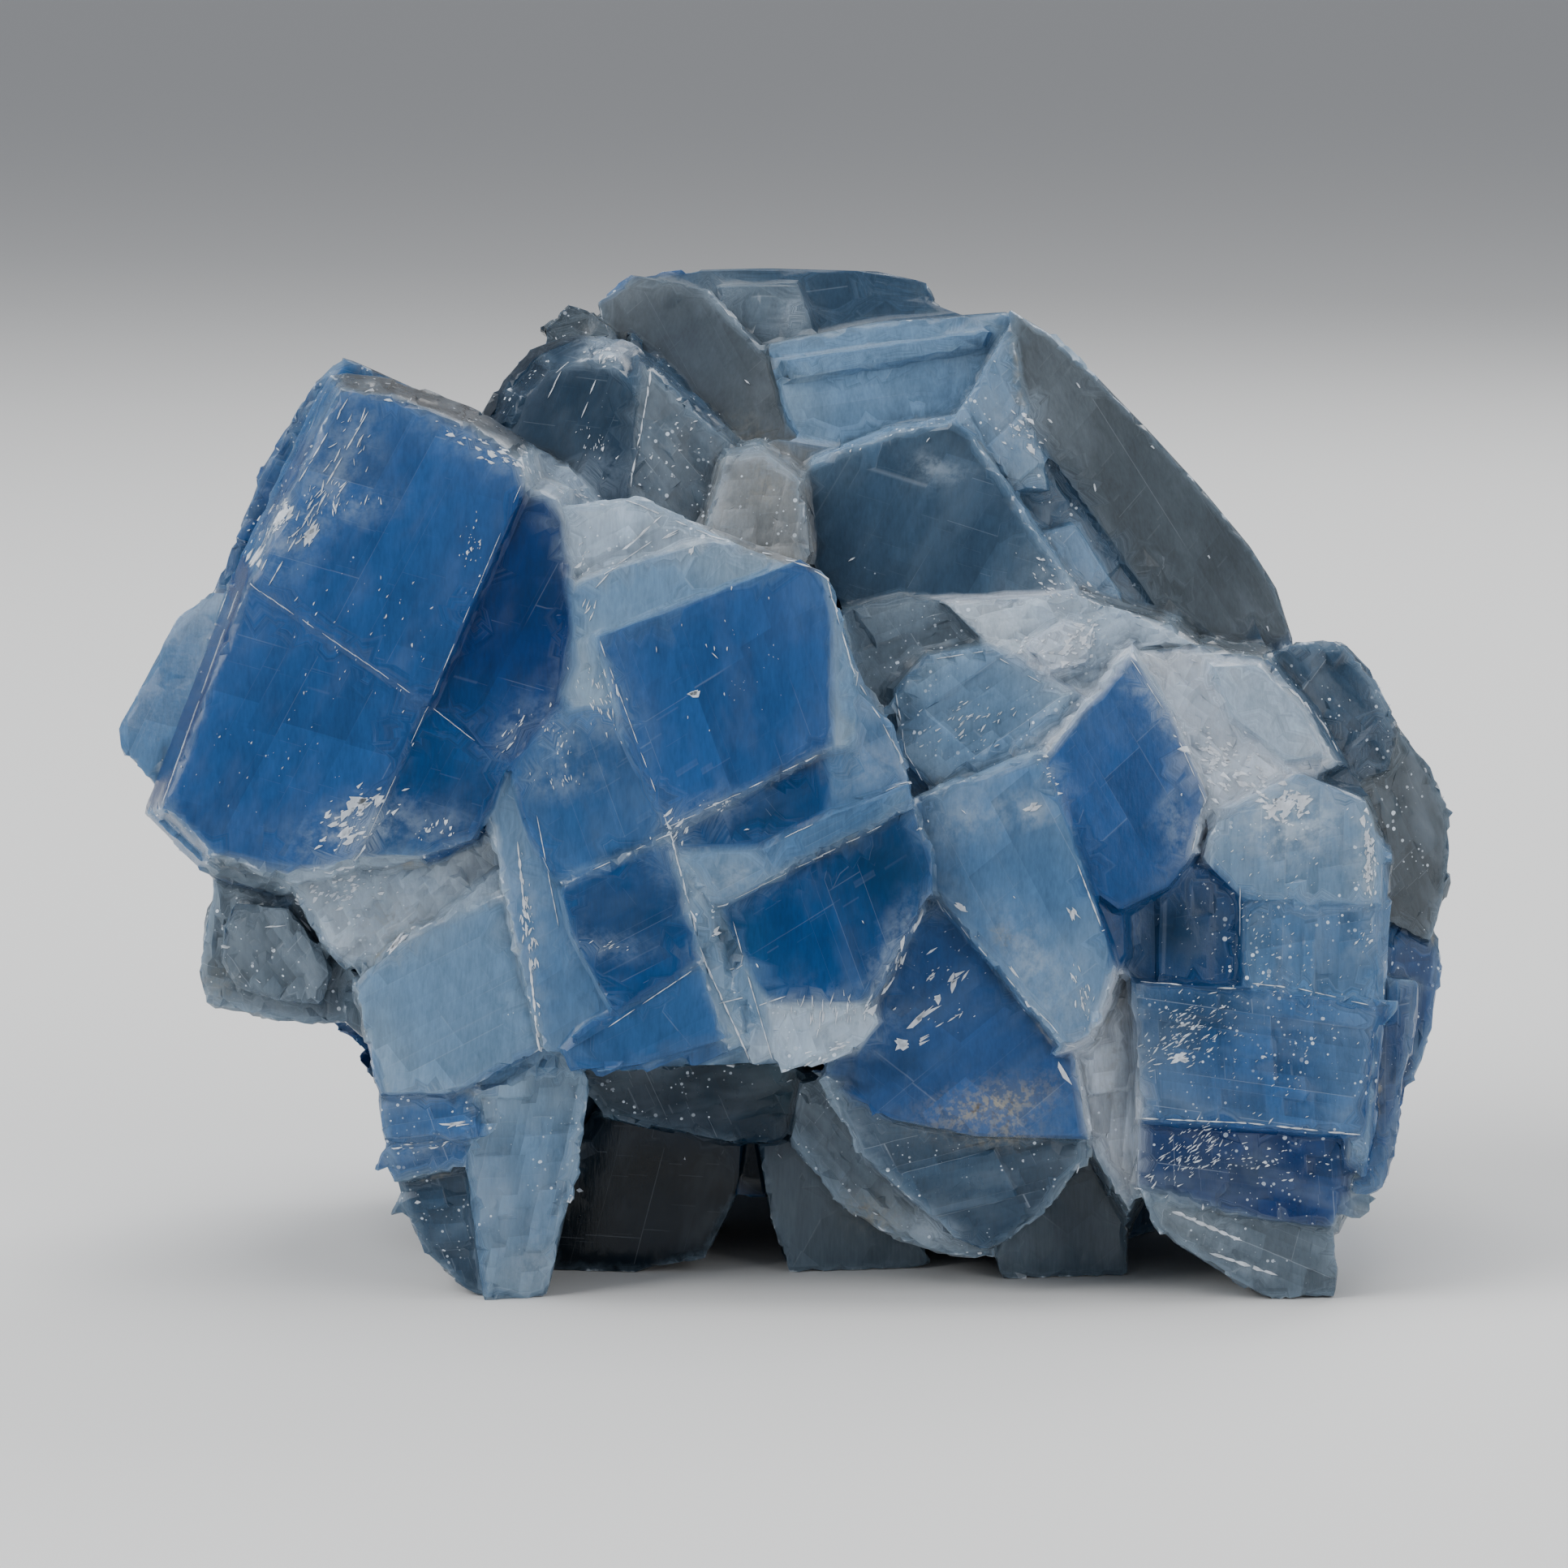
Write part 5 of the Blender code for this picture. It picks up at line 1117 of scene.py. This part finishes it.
def flakes_tree(places, blanks, material):
    """Sets flakes at the drawn places, and scatters small ones over the whole stone."""
    wiring, source = new_tree("crushed_flakes", {
        "Density": SCATTER_DENSITY,
        "Edge Crowd": 9.0,
        "Smallest": (0.12, 0.08, FLAKE_THICKNESS),
        "Largest": (0.6, 0.16, FLAKE_THICKNESS),
        "Seed": SEED,
    })
    shapes = wiring.add("GeometryNodeJoinGeometry")
    for blank in reversed(blanks):
        shape = wiring.add("GeometryNodeObjectInfo", {"Object": blank, "As Instance": True}, out=4)
        wiring.tree.links.new(shape, shapes.node.inputs[0])

    def laid(points, **settings):
        inputs = {"Points": points, "Instance": shapes, "Pick Instance": True}
        for name, value in settings.items():
            inputs[name.replace("_", " ").title()] = value
        return wiring.add("GeometryNodeInstanceOnPoints", inputs)

    place = wiring.add("GeometryNodeInputPosition")
    drift = wiring.step(wiring.noise(place, 0.3, 3.0), 0.45, 0.72)
    edge = wiring.attribute("edge_distance", "FLOAT")
    crowd = wiring.plus(wiring.step(edge, 0.0, 0.45, source["Edge Crowd"], 0.0), 1.0)
    density = wiring.times(wiring.times(drift, crowd), source["Density"])
    points = wiring.add("GeometryNodeDistributePointsOnFaces",
                        {"Mesh": source["Geometry"], "Seed": source["Seed"], "Density": density})
    along = wiring.add("FunctionNodeAlignRotationToVector",
                       {"Rotation": points.node.outputs["Rotation"], "Vector": wiring.attribute("grain")},
                       axis="X", pivot_axis="Z")
    spin = wiring.add("FunctionNodeRandomValue",
                      {0: (0.0, 0.0, -0.5), 1: (0.0, 0.0, 0.5), "Seed": source["Seed"]},
                      data_type="FLOAT_VECTOR")
    spin = wiring.add("FunctionNodeEulerToRotation", {0: spin})
    turn = wiring.add("FunctionNodeRotateRotation", {"Rotation": along, "Rotate By": spin},
                      rotation_space="LOCAL")
    loose = laid(points, rotation=turn, scale=random_size(wiring, source))
    drawn_turn = wiring.add("FunctionNodeEulerToRotation", {0: wiring.attribute("turn")})
    drawn = laid(wiring.mesh_of(places), instance_index=wiring.attribute("shape", "INT"),
                 rotation=drawn_turn, scale=wiring.attribute("size"))
    real = wiring.add("GeometryNodeRealizeInstances", {0: joined(wiring, loose, drawn)})
    white = wiring.add("GeometryNodeSetMaterial", {"Geometry": real, "Material": material})
    wiring.add("NodeGroupOutput", {0: joined(wiring, source["Geometry"], white)})
    return wiring


def add_patches(mesh, tree):
    """Writes how much milk, painted shade and stain each point of the stone has from the soft patches."""
    points = np.empty(len(mesh.vertices) * 3)
    mesh.vertices.foreach_get("co", points)
    across, down, depth = drawn_at(points.reshape(-1, 3))
    patches = [(name, *patch) for name, drawn in SOFT_PATCHES.items() for patch in drawn]
    for bruise in BRUISES:
        if bruise.count > FEW and bruise.spread[1] < HAZE_WIDTH:
            spread = [HAZE_MARGIN + side for side in bruise.spread]
            patches.append(("milk_patch", bruise.middle, spread, bruise.lean, BRUISE_HAZE))
    amounts = {name: np.zeros(len(mesh.vertices)) for name in SOFT_PATCHES}
    for name, middle, spread, lean, strength in patches:
        place, _, _, _ = tree.ray_cast(EYE, sight_line(*middle))
        _, _, here = drawn_at(np.array([place]))
        turned = math.radians(lean)
        right, low = across - middle[0], down - middle[1]
        along = (right * math.cos(turned) - low * math.sin(turned)) / spread[0]
        aside = (right * math.sin(turned) + low * math.cos(turned)) / spread[1]
        near = np.exp(-along**2 - aside**2 - ((depth - here) / PATCH_DEPTH)**2)
        amounts[name] = np.maximum(amounts[name], strength * near)
    for name, values in amounts.items():
        mesh.attributes.new(name, "FLOAT", "POINT").data.foreach_set("value", values.astype(np.float32))


def surface_tree(mesh):
    """The mesh's surface, for finding what a sight line meets."""
    corners = [vert.co for vert in mesh.vertices]
    return BVHTree.FromPolygons(corners, [face.vertices for face in mesh.polygons])


def bruised_stone(mesh, material):
    """The stone with its crushed flakes set on it."""
    tree = surface_tree(mesh)
    add_patches(mesh, tree)
    places = placed_flakes(tree)
    blanks = flake_blanks()
    stone = helper(mesh)
    mesh.materials.append(material)
    add_tree(stone, flakes_tree(places, blanks, material))
    whole = baked(stone, "blue_calcite_stone")
    for lent in (places, *blanks):
        bpy.data.objects.remove(lent)
    return whole


def new_group(name, inputs, outputs, kind=FLOAT):
    """A shader group with these inputs, {name: default}, and outputs of this kind."""
    tree = bpy.data.node_groups.new(name, "ShaderNodeTree")
    add_inputs(tree, inputs)
    for label in outputs:
        tree.interface.new_socket(label, in_out="OUTPUT", socket_type=kind)
    return Wiring(tree), tree.nodes.new("NodeGroupInput").outputs


def group_of(wiring, outputs):
    """Hands out a group's values under their names, and returns its tree."""
    wiring.add("NodeGroupOutput", outputs)
    return wiring.tree


def lattice_group():
    """Turns a place into the directions of a face: along its grain, across it and out of it."""
    inputs = {"Place": ORIGIN, "Grain": ORIGIN, "Out": ORIGIN}
    wiring, source = new_group("lattice_place", inputs, ["Lattice"], VECTOR)
    lattice = lattice_place(wiring, source["Place"], source["Grain"], source["Out"])
    return group_of(wiring, {"Lattice": lattice})


def thickness_group():
    """How near a place is to the rim of its face, from 0 at the heart to 1, with a wandering border."""
    inputs = {"Place": ORIGIN, "From Heart": ORIGIN, "Reach": 5.0, "Swirl": 0.7}
    wiring, source = new_group("thin_share", inputs, ["Thin"])
    away = wiring.vector("ABSOLUTE", source["From Heart"])
    parts = wiring.add("ShaderNodeSeparateXYZ", {0: away}).node.outputs
    squarely = wiring.math("MAXIMUM", parts[0], parts[1])
    wander = wiring.minus(wiring.noise(source["Place"], 0.26, 3.0, 0.6), 0.5)
    share = wiring.times_plus(wander, source["Swirl"], wiring.math("DIVIDE", squarely, source["Reach"]))
    return group_of(wiring, {"Thin": wiring.step(share, 0.45, 1.5)})


def veil_group():
    """Milky veils inside the stone, drawn out along the grain, and curdled milk where a patch is named."""
    inputs = {"Lattice": ORIGIN, "Amount": 0.5, "Patch": 0.0}
    wiring, source = new_group("milky_veils", inputs, ["Veil"])
    lattice = source["Lattice"]
    drawn = wiring.vector("MULTIPLY", lattice, (0.16, 0.34, 0.3))
    wisps = wiring.step(wiring.noise(drawn, 1.0, 3.0, 0.6), 0.45, 0.8)
    haze = wiring.step(wiring.noise(lattice, 0.09), 0.4, 0.75)
    both = wiring.times_plus(haze, 0.5, wisps)
    curds = wiring.step(wiring.noise(lattice, 0.75, 4.0, 0.72), 0.36, 0.66, 0.12, 1.0)
    curdled = wiring.times(source["Patch"], curds)
    return group_of(wiring, {"Veil": wiring.times_plus(both, source["Amount"], curdled, clamp=True)})


def fibre_group():
    """The fine upright fibres that show in every clear face, as a factor about 1 on its colour."""
    inputs = {"Place": ORIGIN, "Strength": 0.3}
    wiring, source = new_group("upright_fibres", inputs, ["Fibre", "Relief"])
    fine = wiring.noise(wiring.vector("MULTIPLY", source["Place"], (6.0, 6.0, 0.7)), 1.0, 3.0, 0.6)
    broad = wiring.noise(wiring.vector("MULTIPLY", source["Place"], (1.1, 1.1, 0.22)), 1.0)
    both = wiring.minus(wiring.times_plus(broad, 0.8, fine), 0.9)
    return group_of(wiring, {"Fibre": wiring.times_plus(both, source["Strength"], 1.0), "Relief": fine})


def trace_group():
    """Inner cleavage: the blocks differ a little in tone, and thin pale lines run between some of them."""
    inputs = {"Lattice": ORIGIN, "Spacing": BLOCK, "Contrast": 0.2, "Line": 0.05}
    wiring, source = new_group("cleavage_traces", inputs, ["Block", "Trace"])
    lattice = source["Lattice"]
    through_row, through_block, number = cleavage_blocks(wiring, lattice, source["Spacing"])

    def drawn(through, stretch):
        middle = wiring.math("ABSOLUTE", wiring.minus(through, 0.5))
        half = wiring.minus(0.5, wiring.math("DIVIDE", source["Line"], source["Spacing"]))
        broken = wiring.noise(wiring.vector("MULTIPLY", lattice, stretch), 1.0, 1.0)
        return wiring.times(wiring.step(middle, half, 0.5), wiring.step(broken, 0.5, 0.6))

    leaning = wiring.plus(through_row, through_block)
    tone = wiring.minus(wiring.times_plus(leaning, 0.35, number), 0.85)
    lines = wiring.math("MAXIMUM", drawn(through_row, (0.07, 0.9, 0.3)),
                        drawn(through_block, (0.7, 0.1, 0.3)))
    return group_of(wiring, {"Block": wiring.times_plus(tone, source["Contrast"], 1.0), "Trace": lines})


def edge_group():
    """Thin crushed white along the sharp edges, and next to them a painted pale glow, as of light through
    thin stone.
    """
    inputs = {"Place": ORIGIN, "Distance": FAR, "Crushed Width": 0.2, "Glow Width": 0.8}
    wiring, source = new_group("worn_edges", inputs, ["Crushed", "Glow"])
    ragged = wiring.minus(wiring.noise(source["Place"], 1.1, 3.0, 0.7), 0.5)
    near = wiring.times_plus(ragged, 0.5, source["Distance"])
    crushed = wiring.step(near, 0.0, source["Crushed Width"], 1.0, 0.0)
    shown = wiring.step(wiring.noise(source["Place"], 0.45, 1.0), 0.38, 0.56)
    # Painted glow: paler towards the sharp edges
    near = wiring.times_plus(ragged, 0.9, source["Distance"])
    glow = wiring.step(near, 0.0, source["Glow Width"], 1.0, 0.0)
    return group_of(wiring, {"Crushed": wiring.times(crushed, shown), "Glow": glow})


def stain_and_corner_shade_group():
    """Cream and rust in some corners between crystals and in the patches named as stained, and the painted
    shade that darkens the corners."""
    inputs = {"Place": ORIGIN, "Distance": FAR, "Patch": 0.0}
    wiring, source = new_group("hollow_stain", inputs, ["Cream", "Rust", "Shade"])
    place = source["Place"]
    patch = source["Patch"]
    ragged = wiring.times_plus(wiring.noise(place, 1.3, 1.0), 0.8, source["Distance"])
    near = wiring.step(ragged, 0.3, 0.75, 1.0, 0.0)
    gathered = wiring.step(wiring.noise(place, 0.16, 1.0), 0.53, 0.64)
    grains = wiring.step(wiring.noise(place, 2.2, 2.0, 0.75), 0.42, 0.62)
    cream = wiring.math("MAXIMUM", wiring.times(wiring.times(near, gathered), 0.7),
                        wiring.times(patch, wiring.times_plus(grains, 0.7, 0.3)))
    rust = wiring.times(patch, wiring.step(wiring.noise(place, 1.6, 2.0, 0.7), 0.55, 0.75))
    # Painted shade: darker towards the corners between crystals
    shade = wiring.step(ragged, 0.3, 1.4, 0.55, 1.0)
    return group_of(wiring, {"Cream": cream, "Rust": rust, "Shade": shade})


def speck_group():
    """Fine sugary white specks, in drifts."""
    inputs = {"Place": ORIGIN, "Amount": 0.5}
    wiring, source = new_group("sugar_specks", inputs, ["Speck"])
    place = source["Place"]
    cells = wiring.add("ShaderNodeTexVoronoi", {"Vector": place, "Scale": 3.0}, feature="F1")
    colour = cells.node.outputs["Color"]
    size = wiring.times(wiring.math("POWER", wiring.dot(colour, (0.5, 0.5, 0.0)), 2.5), 0.5)
    rare = wiring.times_plus(source["Amount"], -0.3, 0.7)
    drift = wiring.step(wiring.noise(place, 0.25, 2.0, 0.6), rare, wiring.plus(rare, 0.2))
    inside = wiring.step(wiring.minus(wiring.times(size, drift), cells), -0.02, 0.02)
    return group_of(wiring, {"Speck": wiring.times(inside, wiring.dot(colour, (0.0, 0.2, 0.8)))})


def new_material(name):
    """A material with no nodes yet, its wiring and the place on the stone in millimetres."""
    material = bpy.data.materials.new(name)
    material.use_nodes = True
    material.node_tree.nodes.clear()
    wiring = Wiring(material.node_tree)
    return material, wiring, wiring.scaled(wiring.add("ShaderNodeTexCoord", out=3), 1 / MM)


def calcite_material(name, groups, look):
    """Calcite whose colour deepens towards the heart of each face, with this finish's share of effects."""
    material, wiring, place = new_material(name)

    def carried(label, out=2):
        return wiring.add("ShaderNodeAttribute", out=out, attribute_name=label)

    def effect(group, inputs):
        return wiring.add("ShaderNodeGroup", inputs, node_tree=groups[group]).node.outputs

    def on_lattice(point):
        directions = {"Grain": carried("grain", 1), "Out": carried("face_out", 1)}
        return effect("lattice", {"Place": point, **directions})[0]

    def blocks(spacing, contrast, line):
        return effect("trace", {"Lattice": lattice, "Spacing": spacing, "Contrast": contrast, "Line": line})

    lattice = on_lattice(place)
    from_heart = on_lattice(wiring.vector("SUBTRACT", place, carried("heart", 1)))
    thin = effect("thickness", {"Place": place, "From Heart": from_heart, "Reach": carried("reach")})[0]
    fibre = effect("fibre", {"Place": place, "Strength": look["fibre"]})
    trace = blocks(BLOCK, look["block"], 0.05)
    flaw = blocks(FLAW, look["flaw"], 0.03)
    veil = effect("veil", {"Lattice": lattice, "Amount": look["veil"], "Patch": carried("milk_patch")})[0]
    # Crushed white along the edges, and the painted glow next to them
    edge = effect("edge", {"Place": place, "Distance": carried("edge_distance"),
                           "Crushed Width": look["crushed"], "Glow Width": look["glow"]})
    # Cream and rust stains, and the painted shade in the corners
    stain = effect("stain", {"Place": place, "Distance": carried("hollow_distance"),
                             "Patch": carried("stain_patch")})
    speck = effect("speck", {"Place": place, "Amount": look["speck"]})[0]

    colour = wiring.mix(thin, carried("heart_tone", 1), carried("rim_tone", 1))
    # The blocks' tones, darkened by the painted shade in the corners
    inner = wiring.times(wiring.times(trace["Block"], flaw["Block"]), stain["Shade"])
    colour = wiring.scaled(colour, wiring.times(fibre["Fibre"], inner))
    # Painted glow near the sharp edges
    colour = wiring.mix(wiring.times(edge["Glow"], look["glow_share"]), colour, PAINTED_GLOW)
    colour = wiring.mix(veil, colour, MILK)
    colour = wiring.mix(stain["Cream"], colour, CREAM)
    colour = wiring.mix(stain["Rust"], colour, RUST)
    # Painted shade from the shade patches, over recesses and some deep zones
    colour = wiring.mix(wiring.times(carried("shade_patch"), 0.9), colour, SHADE)
    lines = wiring.times(wiring.times_plus(flaw["Trace"], 0.4, trace["Trace"]), look["line"])
    white = wiring.math("MAXIMUM", lines, wiring.math("MAXIMUM", edge["Crushed"], speck))
    colour = wiring.mix(wiring.times(white, 0.85), colour, WHITE)

    dull = wiring.times_plus(wiring.plus(white, veil), 0.2, look["roughness"])
    smudge = wiring.times(wiring.minus(wiring.noise(place, 0.8, 3.0), 0.5), 0.2)
    grit = wiring.times(wiring.noise(place, 2.6, 3.0, 0.65), look["grit"])
    relief = wiring.times_plus(fibre["Relief"], 0.35, grit)
    bump = wiring.add("ShaderNodeBump", {"Strength": 0.6, "Distance": 0.06 * MM, "Height": relief})
    shader = wiring.add("ShaderNodeBsdfPrincipled", {
        "Base Color": colour, "Roughness": wiring.plus(dull, smudge, clamp=True), "IOR": 1.6,
        "Specular IOR Level": 0.15, "Normal": bump, "Coat Weight": look["coat"], "Coat Roughness": 0.12,
        "Subsurface Weight": 0.2, "Subsurface Radius": (0.6, 0.9, 1.4), "Subsurface Scale": 0.8 * MM,
    })
    wiring.add("ShaderNodeOutputMaterial", {0: shader})
    return material


def flake_material(name, colour, groups):
    """Crushed calcite: the flakes along broken edges."""
    material, wiring, place = new_material(name)
    fibre = wiring.add("ShaderNodeGroup", {"Place": place, "Strength": 0.5}, node_tree=groups["fibre"])
    bright = wiring.step(wiring.noise(place, 0.9), 0.35, 0.7)
    shade = wiring.mix(bright, (*(CRUSHED_SHADE * part for part in colour[:3]), 1.0), colour)
    bump = wiring.add("ShaderNodeBump", {"Strength": 0.5, "Distance": 0.04 * MM,
                                         "Height": wiring.noise(place, 4.0, 3.0)})
    shader = wiring.add("ShaderNodeBsdfPrincipled", {
        "Base Color": wiring.scaled(shade, fibre), "Roughness": 0.42, "IOR": 1.6, "Normal": bump,
        "Subsurface Weight": 0.3, "Subsurface Radius": (0.8, 1.0, 1.2), "Subsurface Scale": 0.8 * MM,
    })
    wiring.add("ShaderNodeOutputMaterial", {0: shader})
    return material


def plain_material(name, colour, roughness):
    """One even finish, for the floor."""
    material = bpy.data.materials.new(name)
    material.use_nodes = True
    shader = material.node_tree.nodes["Principled BSDF"]
    shader.inputs["Base Color"].default_value = colour
    shader.inputs["Roughness"].default_value = roughness
    return material


def finish_piece(mesh):
    """The stone as one piece in metres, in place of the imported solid."""
    mesh.transform(Matrix.Scale(MM, 4))
    mesh.shade_smooth()
    mesh.set_sharp_from_angle(angle=SMOOTH_UNDER)
    piece = bpy.data.objects.new("blue_calcite_stone", mesh)
    bpy.context.scene.collection.objects.link(piece)
    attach(piece, "root")
    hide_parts("blue_calcite")


def area_light(name, place, size, power):
    """A soft square light that faces the stone."""
    light = bpy.data.lights.new(name, "AREA")
    light.size = size
    light.energy = power
    made = bpy.data.objects.new(name, light)
    made.location = place
    made.rotation_euler = (LIT_PLACE - Vector(place)).to_track_quat("-Z", "Y").to_euler()
    bpy.context.scene.collection.objects.link(made)


def studio():
    """A plain pale floor, soft light and the camera at the eye point of the sheet."""
    bpy.ops.mesh.primitive_plane_add(size=FLOOR_SIZE)
    floor = bpy.context.object
    floor.name = "floor"
    floor.data.materials.append(plain_material("pale_floor", FLOOR_GREY, 0.8))
    world = bpy.data.worlds.new("soft_room")
    world.use_nodes = True
    background = world.node_tree.nodes["Background"]
    background.inputs["Color"].default_value = ROOM_WHITE
    background.inputs["Strength"].default_value = ROOM_LIGHT
    bpy.context.scene.world = world
    for light in LIGHTS:
        area_light(*light)
    camera = bpy.data.cameras.new("photo_view")
    camera.sensor_width = 36.0
    camera.lens = camera.sensor_width * VIEW_DISTANCE / SHEET
    camera.clip_start = 0.01
    made = bpy.data.objects.new("photo_view", camera)
    made.matrix_world = Matrix.Translation(EYE * MM) @ Matrix((RIGHT, UP, -INTO)).transposed().to_4x4()
    bpy.context.scene.collection.objects.link(made)
    bpy.context.scene.camera = made


def main():
    groups = {
        "lattice": lattice_group(),
        "thickness": thickness_group(),
        "veil": veil_group(),
        "fibre": fibre_group(),
        "trace": trace_group(),
        "edge": edge_group(),
        "stain": stain_and_corner_shade_group(),
        "speck": speck_group(),
    }
    finishes = [calcite_material(name, groups, look) for name, look in LOOKS.items()]
    crushed = flake_material("crushed_calcite", WHITE, groups)
    finish_piece(bruised_stone(fine_stone(finishes), crushed))
    studio()


main()
